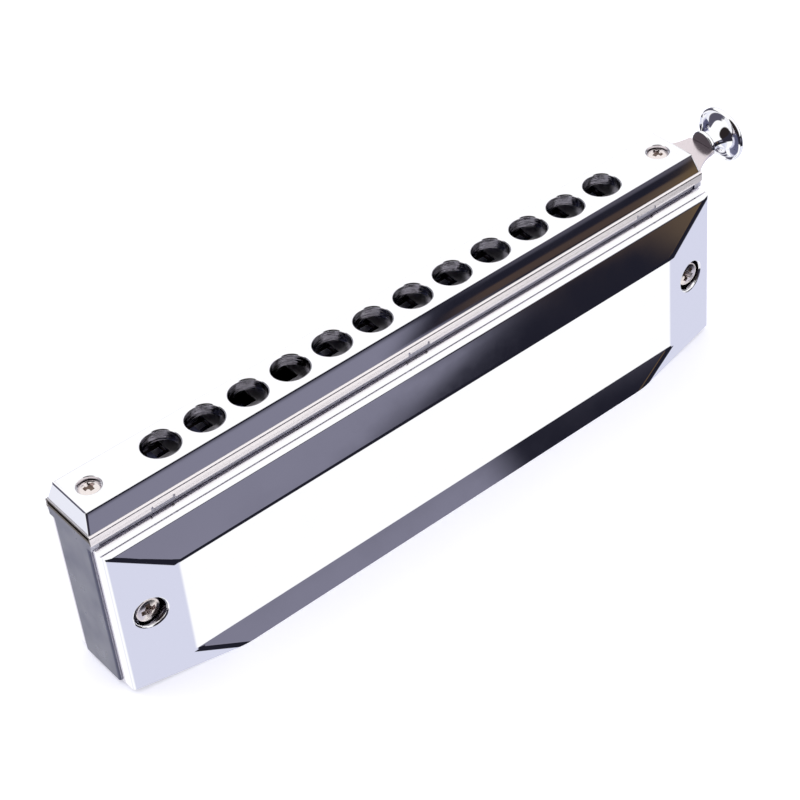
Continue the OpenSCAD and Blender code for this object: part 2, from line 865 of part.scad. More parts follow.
// Cover outline in X and Y, drawn in by the given depth of sheet
module cover_plan(inset, edge_r) {
    facet_s = sqrt(1 + facet_k * facet_k);
    end_x = plate_half_len - inset;
    edge_y = rim_y - inset * facet_s + facet_k * inset;
    crest_y = rear_y + 2 * over;
    crest_x = end_x - (crest_y - edge_y) / facet_k;
    turn = 90 - atan(facet_k);
    reach = edge_r * tan(turn / 2);
    union() {
        polygon([
            [-end_x, stack_half],
            [end_x, stack_half],
            [end_x, edge_y - reach],
            [end_x - reach * cos(90 - turn), edge_y + reach * sin(90 - turn)],
            [crest_x, crest_y],
            [-crest_x, crest_y],
            [-end_x + reach * cos(90 - turn), edge_y + reach * sin(90 - turn)],
            [-end_x, edge_y - reach]
        ]);
        for (s = [-1, 1])
            translate([s * (end_x - edge_r), edge_y - reach])
                circle(r = edge_r);
    }
}

module cover_block(inset, front_r, end_r) {
    intersection() {
        along_x(comb_len)
            cover_section(inset, front_r);
        translate([0, 0, -2 * over])
            linear_extrude(height = comb_z1 + 2 * over)
                cover_plan(inset, end_r);
    }
}

// The pressed cover on the +Y side, open at its back
module cover() {
    cup_mouth_y = rim_y + facet_k * (plate_half_len - cover_screw_x);
    inner_end_r = max(end_edge_r - cover_t, 0.05);
    pot_flare = 0.2;
    corner_k = corner_lift / (plate_half_len - facet_end_x);
    outer_x = plate_half_len + over;
    difference() {
        union() {
            difference() {
                cover_block(0, front_edge_r, end_edge_r);
                cover_block(cover_t, front_edge_r - cover_t, inner_end_r);
            }
            intersection() {
                for (s = [-1, 1])
                    y_cylinder(s * cover_screw_x, cover_screw_z, stack_half, cup_mouth_y + 2 * over,
                        cup_floor_d / 2 + cover_t, cup_d / 2 + cover_t + pot_flare);
                cover_block(0, front_edge_r, end_edge_r);
            }
        }
        for (s = [-1, 1]) {
            y_cylinder(s * cover_screw_x, cover_screw_z, cup_floor_y, cup_mouth_y,
                cup_floor_d / 2, cup_d / 2);
            y_cylinder(s * cover_screw_x, cover_screw_z, cup_mouth_y - eps, cup_mouth_y + 3 * over,
                cup_d / 2, cup_d / 2);
            y_cylinder(s * cover_screw_x, cover_screw_z, cup_mouth_y - cup_bevel,
                cup_mouth_y + cup_bevel + over,
                cup_d / 2, cup_d / 2 + 2 * cup_bevel + over);
            y_cylinder(s * cover_screw_x, cover_screw_z, stack_half - over, cup_floor_y + over,
                cover_thread_d / 2 + screw_gap, cover_thread_d / 2 + screw_gap);
        }
        along_y(big)
            polygon([
                [-facet_end_x, 0],
                [facet_end_x, 0],
                [outer_x, corner_lift + over * corner_k],
                [outer_x, -3 * over],
                [-outer_x, -3 * over],
                [-outer_x, corner_lift + over * corner_k]
            ]);
    }
}

module front_cover() {
    color("gainsboro")
        in_frame()
            mirror([0, 1, 0])
                cover();
}

module rear_cover() {
    color("gainsboro")
        in_frame()
            cover();
}

module cover_screws() {
    past_nut = 0.4;
    head_turn = 20;
    shank_len = 2 * cup_floor_y + nut_h + past_nut;
    color("silver")
        in_frame()
            for (s = [-1, 1])
                translate([s * cover_screw_x, -cup_floor_y, cover_screw_z])
                    rotate([90, 0, 0])
                        rotate([0, 0, s * head_turn])
                            domed_screw(cover_thread_d, shank_len, cover_head_d, cover_head_h);
}

module cover_nuts() {
    color("silver")
        in_frame()
            for (s = [-1, 1])
                difference() {
                    translate([s * cover_screw_x, cup_floor_y, cover_screw_z])
                        rotate([-90, 0, 0])
                            cylinder(h = nut_h, r = nut_flats / sqrt(3), $fn = 6);
                    y_cylinder(s * cover_screw_x, cover_screw_z, cup_floor_y - over,
                        cup_floor_y + nut_h + over,
                        cover_thread_d / 2 + thread_gap, cover_thread_d / 2 + thread_gap);
                }
}

mouthpiece();
mouthpiece_screws();
slide_cage();
slide_back_plate();
slide();
slide_button();
slide_bumpers();
slide_spring();
comb();
threaded_inserts();
front_reed_plate();
rear_reed_plate();
front_blow_reeds();
front_draw_reeds();
rear_blow_reeds();
rear_draw_reeds();
front_reed_rivets();
rear_reed_rivets();
front_outer_valves();
front_inner_valves();
rear_outer_valves();
rear_inner_valves();
front_plate_screws();
rear_plate_screws();
front_cover();
rear_cover();
cover_screws();
cover_nuts();
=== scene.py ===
import math

import bmesh
import bpy
from mathutils import Matrix, Vector


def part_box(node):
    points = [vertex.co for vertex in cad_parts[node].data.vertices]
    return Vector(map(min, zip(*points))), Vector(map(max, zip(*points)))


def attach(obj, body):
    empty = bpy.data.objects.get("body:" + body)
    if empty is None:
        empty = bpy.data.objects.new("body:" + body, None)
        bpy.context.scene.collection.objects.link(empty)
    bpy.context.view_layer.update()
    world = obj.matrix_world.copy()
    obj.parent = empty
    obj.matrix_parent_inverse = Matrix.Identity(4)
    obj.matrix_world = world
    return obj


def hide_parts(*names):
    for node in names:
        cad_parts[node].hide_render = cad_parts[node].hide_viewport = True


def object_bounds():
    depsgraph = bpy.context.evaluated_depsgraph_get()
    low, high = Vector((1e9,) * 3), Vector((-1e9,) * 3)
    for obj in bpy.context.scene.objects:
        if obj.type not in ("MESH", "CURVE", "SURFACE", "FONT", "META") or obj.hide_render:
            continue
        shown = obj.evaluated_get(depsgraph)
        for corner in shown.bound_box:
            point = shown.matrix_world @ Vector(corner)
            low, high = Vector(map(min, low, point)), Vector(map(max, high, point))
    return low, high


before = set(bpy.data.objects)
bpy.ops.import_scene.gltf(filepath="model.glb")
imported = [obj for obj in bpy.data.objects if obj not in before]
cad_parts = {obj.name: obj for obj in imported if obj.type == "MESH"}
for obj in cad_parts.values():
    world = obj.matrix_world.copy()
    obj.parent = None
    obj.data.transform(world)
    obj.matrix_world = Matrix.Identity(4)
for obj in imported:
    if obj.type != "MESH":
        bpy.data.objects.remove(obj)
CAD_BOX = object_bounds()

bl_info = {
    "name": "Chromatic Harmonica",
    "version": (1, 0, 0),
    "blender": (4, 5, 0),
    "location": "View3D > Sidebar > Harmonica",
    "description": "Builds the looks of a chromatic harmonica round its packed solids",
    "category": "Object",
}

MM = 0.001
BODY = "body"
SLIDER = "slide"

# Camera fitted to the photograph: place, axes and focal length in pixels of an 800 pixel frame
CAMERA_PLACE = Vector((-0.18927, -0.26698, 0.26754))
CAMERA_RIGHT = Vector((0.77006, -0.63274, -0.08151))
CAMERA_UP = Vector((0.46977, 0.47595, 0.74350))
CAMERA_FORWARD = Vector((0.43165, 0.61083, -0.66376))
SENSOR_MM = 36.0
FOCAL_PX = 2305.9
FRAME_PX = 800.0

CLIP_NEAR, CLIP_FAR = 0.01, 100.0

# The floor reaches so far, in metres, that no dark horizon shows from low viewpoints
FLOOR_HALF = 30.0
FLOOR_GLOW = 0.5
KEY_PLACE = Vector((-0.35, 0.75, 0.95))
KEY_SIZE = 0.9

# Points closer than these, in metres, count as one
MERGE = 1e-6
TINY = 1e-7
# Below these a radius lies on the axis, a corner has no turn (radians) and two sides are parallel
ON_AXIS, NO_TURN, PARALLEL = 1e-9, 1e-4, 1e-12
# A face looks along an axis where that part of its normal is larger than this
LOOKS_ALONG = 0.9
# Sockets of a Mix node that is set to colour
MIX_A, MIX_B, MIX_OUT = 6, 7, 2
# The span in which nearly all of a noise texture's values lie
NOISE_LOW, NOISE_HIGH = 0.3, 0.7


def linear(text):
    """A hex sRGB colour as linear red, green and blue."""
    found = []
    for i in (0, 2, 4):
        c = int(text[i : i + 2], 16) / 255.0
        found.append(c / 12.92 if c <= 0.04045 else ((c + 0.055) / 1.055) ** 2.4)
    return tuple(found)


def rgba(colour):
    return (colour[0], colour[1], colour[2], 1.0)


# Sizes and colours that a user would change


def size_prop(name, text, mm, low, high):
    return bpy.props.FloatProperty(
        name=name,
        description=text,
        default=mm * MM,
        min=low * MM,
        max=high * MM,
        subtype="DISTANCE",
        unit="LENGTH",
        precision=5,
    )


def colour_prop(name, text, hex_colour):
    return bpy.props.FloatVectorProperty(
        name=name,
        description=text,
        default=linear(hex_colour),
        min=0.0,
        max=1.0,
        size=3,
        subtype="COLOR",
    )


class HarmonicaFinishes(bpy.types.PropertyGroup):
    chrome: colour_prop("Chrome", "Colour of the chromed mouthpiece, covers and button", "F5F5F8")
    nickel: colour_prop("Nickel", "Colour of the nickel-plated slide and cage", "F0EAEC")
    steel: colour_prop("Screw steel", "Colour of the plated screws", "E9E0DE")
    plastic: colour_prop("Comb plastic", "Colour of the moulded comb", "5A5C7C")
    plate: colour_prop("Reed plate", "Colour of the reed plates", "D2CEDC")
    reed: colour_prop("Reed brass", "Colour of the reeds", "D8B878")
    film: colour_prop("Valve film", "Colour of the valve strips", "EDEBE4")


class HarmonicaMouthpiece(bpy.types.PropertyGroup):
    holes: bpy.props.IntProperty(
        name="Holes", description="Number of blow holes", default=12, min=10, max=14
    )
    pitch: size_prop("Hole pitch", "Spacing of the blow holes", 9.5, 9.2, 10.0)
    bore: size_prop("Hole bore", "Diameter of a blow hole", 7.2, 6.2, 7.4)
    lip: size_prop("Hole lip", "Radius of the rounded lip of a blow hole", 0.52, 0.2, 0.8)
    edge: size_prop("Edge radius", "Radius along the edges of the flat top", 0.4, 0.2, 0.8)


class HarmonicaCovers(bpy.types.PropertyGroup):
    sheet: size_prop("Sheet", "Thickness of the cover sheet", 0.6, 0.5, 0.8)
    bend: size_prop("Bend width", "How far the soft bends reach on to each flat", 0.9, 0.2, 1.2)
    cup_lip: size_prop("Cup lip", "Radius of the lip of a screw cup", 0.45, 0.2, 0.8)


class HarmonicaButton(bpy.types.PropertyGroup):
    rim: size_prop("Rim", "Diameter of the button's head", 11.7, 9.0, 14.0)
    waist: size_prop("Waist", "Diameter of the button's waist", 4.6, 4.0, 5.2)
    flange: size_prop("Flange", "Diameter of the flange that the slide enters", 5.8, 5.4, 7.0)


class HarmonicaStage(bpy.types.PropertyGroup):
    key: bpy.props.FloatProperty(
        name="Key light", description="Power of the soft light behind", default=3.0, min=0.0, subtype="POWER"
    )
    floor: colour_prop("Floor", "Colour of the pale floor", "EEEEF4")


# Nodes and materials


def add_node(tree, kind, inputs=None, **settings):
    """A node of that kind: settings are its properties, inputs its values or the sockets linked to it."""
    made = tree.nodes.new(kind)
    for key, value in settings.items():
        setattr(made, key, value)
    for key, value in (inputs or {}).items():
        socket = made.inputs[key]
        if isinstance(value, bpy.types.NodeSocket):
            tree.links.new(value, socket)
        else:
            socket.default_value = value
    return made


def grains_of(tree, grain_mm, detail, rough):
    """Fine noise on object coordinates, with grains of so many mm along X, Y and Z."""
    coords = add_node(tree, "ShaderNodeTexCoord").outputs["Object"]
    scale = tuple(1.0 / (length * MM) for length in grain_mm)
    place = add_node(tree, "ShaderNodeMapping", {"Vector": coords, "Scale": scale}).outputs["Vector"]
    values = {"Vector": place, "Scale": 1.0, "Detail": detail, "Roughness": rough}
    return add_node(tree, "ShaderNodeTexNoise", values).outputs["Fac"]


def new_finish(name, colour, metallic, dull, grain_mm, detail=2.0, rough=0.5, relief=None, **sockets):
    """A material whose even values stand on the shader's own sockets.

    Its roughness follows the grain over the range dull. Relief, where there is any, is the strength of a
    bump, its depth in mm and, where it isn't the same grain, its own grain in mm.
    """
    mat = bpy.data.materials.new(name)
    mat.use_nodes = True
    tree = mat.node_tree
    shader = tree.nodes["Principled BSDF"]
    for key, value in {"Base Color": rgba(colour), "Metallic": metallic, **sockets}.items():
        shader.inputs[key].default_value = value
    grain = grains_of(tree, grain_mm, detail, rough)
    span = {"From Min": NOISE_LOW, "From Max": NOISE_HIGH, "To Min": dull[0], "To Max": dull[1]}
    span["Value"] = grain
    worn = add_node(tree, "ShaderNodeMapRange", span)
    tree.links.new(worn.outputs["Result"], shader.inputs["Roughness"])
    if relief:
        strength, depth_mm, *own = relief
        height = grains_of(tree, own[0], 2.0, 0.5) if own else grain
        values = {"Height": height, "Strength": strength, "Distance": depth_mm * MM}
        raised = add_node(tree, "ShaderNodeBump", values)
        tree.links.new(raised.outputs["Normal"], shader.inputs["Normal"])
    return mat


def blade_finish():
    """The slide's finish: darker as painted shade as far as the cage reaches, bright beyond it."""
    painted_shade_nickel, bright = rgba(linear("A29EA2")), linear("DAD0D4")
    full_shade, full_bright = 8.0 * MM, 5.0 * MM
    mat = new_finish("nickel_blade_painted_shade", bright, 1.0, (0.14, 0.26), (20.0, 0.15, 0.15))
    tree = mat.node_tree
    coords = add_node(tree, "ShaderNodeTexCoord").outputs["Object"]
    along = add_node(tree, "ShaderNodeSeparateXYZ", {"Vector": coords}).outputs["X"]
    edge = box_of("slide_cage")[1].x
    span = {"Value": along, "From Min": edge - full_shade, "From Max": edge - full_bright}
    out_of_shade = add_node(tree, "ShaderNodeMapRange", span).outputs["Result"]
    tones = {"Factor": out_of_shade, MIX_A: painted_shade_nickel, MIX_B: rgba(bright)}
    tone = add_node(tree, "ShaderNodeMix", tones, data_type="RGBA")
    tree.links.new(tone.outputs[MIX_OUT], tree.nodes["Principled BSDF"].inputs["Base Color"])
    return mat


def make_finishes():
    f = bpy.context.scene.harmonica_finishes
    made = {}
    # Polished chrome plate: mirror bright, with faint polishing haze in patches of about 12 mm
    made["chrome"] = new_finish(
        "polished_chrome_plate", f.chrome, 1.0, (0.02, 0.07), (12.0, 12.0, 12.0), 4.0, 0.6
    )
    # Nickel-plated sheet: warmer than chrome and satin, rolled along its length with 0.15 mm lines
    made["nickel"] = new_finish(
        "nickel_plated_sheet", f.nickel, 1.0, (0.13, 0.24), (20.0, 0.15, 0.15), relief=(0.06, 0.02)
    )
    # Nickel painted greyer than the outside as painted shade, and softer, so the air ways stay dim
    made["painted_shade_nickel"] = new_finish(
        "cage_nickel_painted_shade", linear("BCB9BE"), 1.0, (0.28, 0.45), (2.0, 2.0, 2.0), 3.0, 0.6
    )
    # Sheared edges of the cage and its back plate: dark brown, partly the brass that shows through the torn
    # plating and partly painted shade in the gaps at the cage's ends and behind the slide
    made["sheared"] = new_finish(
        "sheared_brass_and_painted_shade", linear("564C48"), 1.0, (0.35, 0.5), (0.6, 0.6, 0.3), 3.0, 0.6
    )
    # The slide's nickel plate: darker inside the cage as painted shade, bright and rolled where its neck
    # runs out
    made["blade"] = blade_finish()
    # Turned face of the button's flange: rough, painted dark grey as a painted dark reflection, with lathe
    # rings 0.2 mm apart
    made["face"] = new_finish("button_face_painted_reflection", linear("625C62"), 1.0, (0.34, 0.5), (10.0, 0.2, 0.2))
    # Walls of the screw cups: chrome painted greyer as painted shade, so the deep wall stays dark
    made["wall"] = new_finish("cup_wall_chrome_painted_shade", linear("B8B8C2"), 1.0, (0.04, 0.12), (1.2, 1.2, 1.2))
    # Walls of the blow holes: bored, then plated, so rings 0.35 mm apart break up what they mirror
    made["bore"] = new_finish(
        "bored_and_plated_wall", linear("E2E1E7"), 1.0, (0.05, 0.14), (4.0, 4.0, 0.35), 2.0, 0.6, (0.6, 0.12)
    )
    # Nickel-plated screw steel: bright dome with slightly uneven plating in 1 mm patches
    made["steel"] = new_finish(
        "nickel_plated_screw_steel", f.steel, 1.0, (0.12, 0.26), (1.0, 1.0, 1.0), 3.0, 0.6
    )
    # The bottom of a driver's recess: dull and brown, painted shade with a painted brown reflection
    made["recess"] = new_finish(
        "driver_recess_painted_shade", linear("7A6A62"), 0.8, (0.35, 0.65), (0.4, 0.4, 0.4), 4.0, 0.6
    )
    # Moulded ABS: slate grey and half glossy in 6 mm clouds, with a fine 0.25 mm mould texture
    texture = (0.08, 0.02, (0.25, 0.25, 0.25))
    made["plastic"] = new_finish(
        "moulded_slate_abs", f.plastic, 0.0, (0.24, 0.4), (6.0, 6.0, 6.0), 3.0, relief=texture, IOR=1.54
    )
    # The comb's long rails: the same ABS painted pale, as painted light on the shaded rails,
    # so they read as a pale strip
    made["rail"] = new_finish(
        "comb_side_abs_painted_light", linear("E4E3F2"), 0.0, (0.4, 0.55), (4.0, 0.4, 0.4), IOR=1.54
    )
    # Nickel-plated brass plate, brushed, a little lavender, with a grain of 0.3 mm
    made["plate"] = new_finish(
        "plated_brass_sheet", f.plate, 1.0, (0.1, 0.2), (4.0, 0.3, 0.3), 3.0, 0.6, (0.1, 0.02)
    )
    # Reed brass, filed across the tongue in strokes about 0.1 mm apart
    made["reed"] = new_finish(
        "filed_reed_brass", f.reed, 1.0, (0.24, 0.42), (2.0, 2.0, 0.1), relief=(0.12, 0.02)
    )
    # Turned brass: rivets and inserts, a deeper yellow with fine lathe lines
    made["brass"] = new_finish("turned_brass", linear("C79A50"), 1.0, (0.22, 0.38), (0.8, 0.8, 0.1))
    # Polyester valve film: thin, milky and half glossy
    made["film"] = new_finish(
        "polyester_valve_film", f.film, 0.0, (0.28, 0.45), (1.0, 1.0, 1.0), 3.0, IOR=1.57
    )
    # Silicone sleeve: soft, ivory and matte
    made["sleeve"] = new_finish(
        "silicone_sleeve", linear("D8D2C4"), 0.0, (0.48, 0.62), (0.5, 0.5, 0.5), IOR=1.41
    )
    # Drawn spring wire: grey, with lines along the draw
    made["wire"] = new_finish("drawn_spring_wire", linear("9A9A9E"), 1.0, (0.24, 0.4), (0.1, 0.1, 4.0))
    return made


FINISHES = {}


def finish_of(name):
    if not FINISHES:
        FINISHES.update(make_finishes())
    return FINISHES[name]


# Mesh tools


def new_object(name, mesh):
    made = bpy.data.objects.new(name, mesh)
    bpy.context.scene.collection.objects.link(made)
    return made


def mesh_of(name, build):
    """A mesh made by build(bm), with its doubles merged and its faces pointing outwards."""
    bm = bmesh.new()
    build(bm)
    bmesh.ops.remove_doubles(bm, verts=bm.verts, dist=TINY)
    bmesh.ops.recalc_face_normals(bm, faces=bm.faces)
    mesh = bpy.data.meshes.new(name)
    bm.to_mesh(mesh)
    bm.free()
    return mesh


def prism(name, outline, low, high, place):
    """A closed outline pushed from low to high; place turns (u, v, w) into a point."""

    def build(bm):
        first, last = ([bm.verts.new(place(u, v, w)) for u, v in outline] for w in (low, high))
        n = len(outline)
        for i in range(n):
            j = (i + 1) % n
            bm.faces.new((first[i], first[j], last[j], last[i]))
        bm.faces.new(first)
        bm.faces.new(list(reversed(last)))

    return new_object(name, mesh_of(name, build))


def rounded(points, radii, step_deg=4.0):
    """A closed outline with each corner rounded to its radius by short straight steps."""
    out = []
    n = len(points)
    for i in range(n):
        p = Vector(points[i])
        a = Vector(points[i - 1]) - p
        b = Vector(points[(i + 1) % n]) - p
        r = radii[i]
        turn = math.pi - a.angle(b)
        if r <= 0 or turn < NO_TURN:
            out.append((p.x, p.y))
            continue
        reach = r * math.tan(turn / 2)
        start = p + a.normalized() * reach
        end = p + b.normalized() * reach
        middle = p + (a.normalized() + b.normalized()).normalized() * (r / math.cos(turn / 2))
        steps = max(2, math.ceil(math.degrees(turn) / step_deg))
        first = math.atan2(start.y - middle.y, start.x - middle.x)
        last = math.atan2(end.y - middle.y, end.x - middle.x)
        sweep = (last - first + math.pi) % (2 * math.pi) - math.pi
        for k in range(steps + 1):
            t = first + sweep * k / steps
            out.append((middle.x + r * math.cos(t), middle.y + r * math.sin(t)))
    return out


def bowed(start, end, bow, steps):
    """Points from start to end on a shallow arc that stands out to the right by bow in the middle."""
    a, b = Vector(start), Vector(end)
    out = Vector(((b - a).y, -(b - a).x)).normalized()
    found = []
    for k in range(steps + 1):
        t = k / steps
        p = a.lerp(b, t) + out * (bow * 4 * t * (1 - t))
        found.append((p.x, p.y))
    return found


def turned(name, profile, steps=96, axis="Z", centre=(0, 0, 0)):
    """A closed (radius, height) profile spun once round an axis."""
    place = {
        "X": lambda r, h, t: (h, r * math.cos(t), r * math.sin(t)),
        "Y": lambda r, h, t: (r * math.sin(t), h, r * math.cos(t)),
        "Z": lambda r, h, t: (r * math.cos(t), r * math.sin(t), h),
    }[axis]
    c = Vector(centre)

    def build(bm):
        rings = []
        for r, h in profile:
            if r < ON_AXIS:
                rings.append([bm.verts.new(c + Vector(place(0, h, 0)))])
            else:
                turns = (2 * math.pi * k / steps for k in range(steps))
                rings.append([bm.verts.new(c + Vector(place(r, h, t))) for t in turns])
        for a, b in zip(rings, rings[1:]):
            for k in range(steps):
                m = (k + 1) % steps
                if len(a) == 1 and len(b) == 1:
                    continue
                if len(a) == 1:
                    bm.faces.new((a[0], b[m], b[k]))
                elif len(b) == 1:
                    bm.faces.new((a[k], a[m], b[0]))
                else:
                    bm.faces.new((a[k], a[m], b[m], b[k]))

    return new_object(name, mesh_of(name, build))


def arc(cx, cy, r, start_deg, end_deg, steps=12):
    """Points on an arc, from one angle to the other."""
    turns = (math.radians(start_deg + (end_deg - start_deg) * k / steps) for k in range(steps + 1))
    return [(cx + r * math.cos(t), cy + r * math.sin(t)) for t in turns]


def dome(reach, top, ball_r, steps):
    """Profile points over a dome, from just inside its reach to the axis."""
    radii = (reach * (1 - k / steps) for k in range(1, steps + 1))
    return [(r, top - ball_r + math.sqrt(ball_r**2 - r**2)) for r in radii]


def carve(target, tool, operation="DIFFERENCE"):
    """One boolean between closed meshes, applied at once; the tool is removed."""
    made = target.modifiers.new("carve", "BOOLEAN")
    made.operation = operation
    made.solver = "MANIFOLD"
    made.object = tool
    settle(target)
    drop(tool)


def settle(obj):
    """Turns what the modifiers give into the object's own mesh."""
    view = bpy.context.view_layer
    view.update()
    done = bpy.data.meshes.new_from_object(obj.evaluated_get(view.depsgraph))
    obj.modifiers.clear()
    old = obj.data
    obj.data = done
    if old.users == 0:
        bpy.data.meshes.remove(old)


def drop(obj):
    data = obj.data
    bpy.data.objects.remove(obj)
    if data.users == 0:
        bpy.data.meshes.remove(data)


def merged_copy(node, name):
    """A copy of a CAD node's mesh with its triangles joined up into flat faces."""
    flat_deg = 0.6
    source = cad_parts[node]
    bm = bmesh.new()
    bm.from_mesh(source.data)
    bm.transform(source.matrix_world)
    bmesh.ops.remove_doubles(bm, verts=bm.verts, dist=MERGE)
    bmesh.ops.dissolve_limit(
        bm, angle_limit=math.radians(flat_deg), verts=bm.verts, edges=bm.edges, use_dissolve_boundaries=False
    )
    mesh = bpy.data.meshes.new(name)
    bm.to_mesh(mesh)
    bm.free()
    return new_object(name, mesh)


def soften(obj, sharp_deg, bevel_mm=0.0, segments=2):
    """Smooth shading with real edges kept, small bevels on them, and flats that shade flat."""
    bevel_from_deg = 30
    bm = bmesh.new()
    bm.from_mesh(obj.data)
    bmesh.ops.remove_doubles(bm, verts=bm.verts, dist=2 * TINY)
    bmesh.ops.dissolve_degenerate(bm, edges=bm.edges, dist=TINY)
    for face in bm.faces:
        face.smooth = True
    bm.to_mesh(obj.data)
    bm.free()
    if bevel_mm > 0:
        made = obj.modifiers.new("soft_edges", "BEVEL")
        made.width = bevel_mm * MM
        made.segments = segments
        made.limit_method = "ANGLE"
        made.angle_limit = math.radians(bevel_from_deg)
        made.use_clamp_overlap = True
        made.miter_outer = "MITER_ARC"
        settle(obj)
    bm = bmesh.new()
    bm.from_mesh(obj.data)
    for edge in bm.edges:
        edge.smooth = not (len(edge.link_faces) == 2 and edge.calc_face_angle(0) > math.radians(sharp_deg))
    bm.to_mesh(obj.data)
    bm.free()
    made = obj.modifiers.new("even_shading", "WEIGHTED_NORMAL")
    made.mode = "FACE_AREA"
    made.weight = 50
    made.keep_sharp = True
    settle(obj)


def mark(obj, slot, test):
    """Faces whose middle and normal pass the test get the finish in that slot."""
    for face in obj.data.polygons:
        if test(face.center, face.normal):
            face.material_index = slot


def give(obj, *finishes):
    obj.data.materials.clear()
    for finish in finishes:
        obj.data.materials.append(finish_of(finish))


def seat(obj, body, *nodes):
    """The finished piece rides on its body and stands for its CAD nodes."""
    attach(obj, body)
    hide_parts(*nodes)


def paint(node, finish):
    """A CAD node that keeps its own mesh gets its material."""
    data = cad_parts[node].data
    data.materials.clear()
    data.materials.append(finish_of(finish))


def box_of(node):
    low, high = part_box(node)
    return Vector(low), Vector(high)


# The stage

# What a zone of the room is bounded by, besides an azimuth in degrees: the height of a direction, or how
# far it leans towards the camera's lens or across the wall's slanting edge
HEIGHT = "height"
LENS_WAY = (-0.596, -0.71, 0.375)
SLANT_WAY = (0.432, 0.439, -1.788)


def build_world(scene):
    """What the chrome mirrors: a white dome, a lavender table, the dark camera and a dark, brown room."""
    world = bpy.data.worlds.new("studio")
    scene.world = world
    world.use_nodes = True
    tree = world.node_tree
    tree.nodes.clear()
    way = add_node(tree, "ShaderNodeTexCoord").outputs["Generated"]
    height = add_node(tree, "ShaderNodeSeparateXYZ", {"Vector": way}).outputs["Z"]
    flat = add_node(tree, "ShaderNodeVectorMath", {0: way, 1: (1.0, 1.0, 0.0)}, operation="MULTIPLY")
    level = add_node(tree, "ShaderNodeVectorMath", {0: flat.outputs["Vector"]}, operation="NORMALIZE")

    def share(*parts):
        """The product of other shares and of soft bounds: (what, where it is 0, where it is 1)."""
        whole = None
        for part in parts:
            if not isinstance(part, bpy.types.NodeSocket):
                what, start, end = part
                value = height
                if what != HEIGHT:
                    pair = {0: way, 1: what}
                    if not isinstance(what, tuple):
                        turn = math.radians(what)
                        pair = {0: level.outputs["Vector"], 1: (math.cos(turn), math.sin(turn), 0.0)}
                    along = add_node(tree, "ShaderNodeVectorMath", pair, operation="DOT_PRODUCT")
                    value = along.outputs["Value"]
                span = {"Value": value, "From Min": start, "From Max": end}
                step = add_node(tree, "ShaderNodeMapRange", span, interpolation_type="SMOOTHSTEP")
                part = step.outputs["Result"]
            if whole is None:
                whole = part
            else:
                product = add_node(tree, "ShaderNodeMath", {0: whole, 1: part}, operation="MULTIPLY")
                whole = product.outputs["Value"]
        return whole

    white = (1.1, 1.1, 1.1, 1.0)
    room = share((HEIGHT, -0.6, -0.57), (HEIGHT, 0.06, 0.01), (-68, 0.6, 0.85))
    room_corner = share(room, (-62, 0.984, 0.9885))
    sides = {0: share((-85, 0.9225, 0.9315)), 1: share((HEIGHT, -0.215, -0.235))}
    edge = add_node(tree, "ShaderNodeMath", sides, operation="MAXIMUM").outputs["Value"]
    greys = {
        "Factor": share((HEIGHT, -0.24, -0.32)),
        MIX_A: rgba(linear("828193")),
        MIX_B: rgba(linear("918E9F")),
    }
    grey = add_node(tree, "ShaderNodeMix", greys, data_type="RGBA").outputs[MIX_OUT]
    # Each zone lies over those before it
    zones = (
        # The dome over the table
        (white, share((HEIGHT, -0.6, -0.1))),
        # The table in front, and the brighter sides of it
        (rgba(linear("DDDFF1")), share((-55, 0.7, 0.85), (HEIGHT, -0.5, -0.56))),
        (white, share((-150, 0.75, 0.92), (HEIGHT, -0.3, -0.5))),
        (white, share((-55, 0.955, 0.985), (HEIGHT, -0.35, -0.5))),
        # The camera's dark body
        (rgba(linear("2C2627")), share((LENS_WAY, 0.7, 0.79))),
        # A slate screen at the left and a slate line round the horizon
        (rgba(linear("5A5868")), share((112, 0.7, 0.82), (HEIGHT, -0.32, -0.26), (HEIGHT, 0.42, 0.34))),
        (rgba(linear("5A5868")), share((HEIGHT, -0.09, -0.05), (HEIGHT, 0.06, 0.03))),
        # The dark room, with a grey wall and a shelf in it
        (rgba(linear("20202B")), room),
        (grey, share(room, edge, (HEIGHT, -0.42, -0.39), (HEIGHT, -0.07, -0.11), (SLANT_WAY, 0.25, 0.23))),
        (rgba(linear("54525E")), share(room, (-50, 0.974, 0.99), (HEIGHT, -0.105, -0.085))),
        # Brown wood in the room's corner, lighter towards its end
        (
            rgba(linear("4A3D38")),
            share(room_corner, (-50, 0.977, 0.983), (HEIGHT, -0.222, -0.21), (HEIGHT, -0.15, -0.17)),
        ),
        (
            rgba(linear("5A4C40")),
            share(room_corner, (-50, 0.9934, 0.9962), (HEIGHT, -0.232, -0.22), (HEIGHT, -0.15, -0.18)),
        ),
        (
            rgba(linear("6A573F")),
            share(room_corner, (-50, 0.9961, 0.9967), (HEIGHT, -0.3, -0.27), (HEIGHT, -0.02, -0.06)),
        ),
        # A dark corner at the left, and the pale table behind
        (rgba(linear("32303C")), share((-135, 0.6, 0.78), (HEIGHT, -0.52, -0.46), (HEIGHT, 0.12, 0.06))),
        (white, share((125, 0.8, 0.9), (HEIGHT, -0.5, -0.58))),
    )
    colour = rgba(linear("EDEFFA"))
    for over, factor in zones:
        pair = {"Factor": factor, MIX_A: colour, MIX_B: over}
        colour = add_node(tree, "ShaderNodeMix", pair, data_type="RGBA").outputs[MIX_OUT]
    shade = add_node(tree, "ShaderNodeBackground", {"Color": colour, "Strength": 1.0})
    out = add_node(tree, "ShaderNodeOutputWorld")
    tree.links.new(shade.outputs["Background"], out.inputs["Surface"])


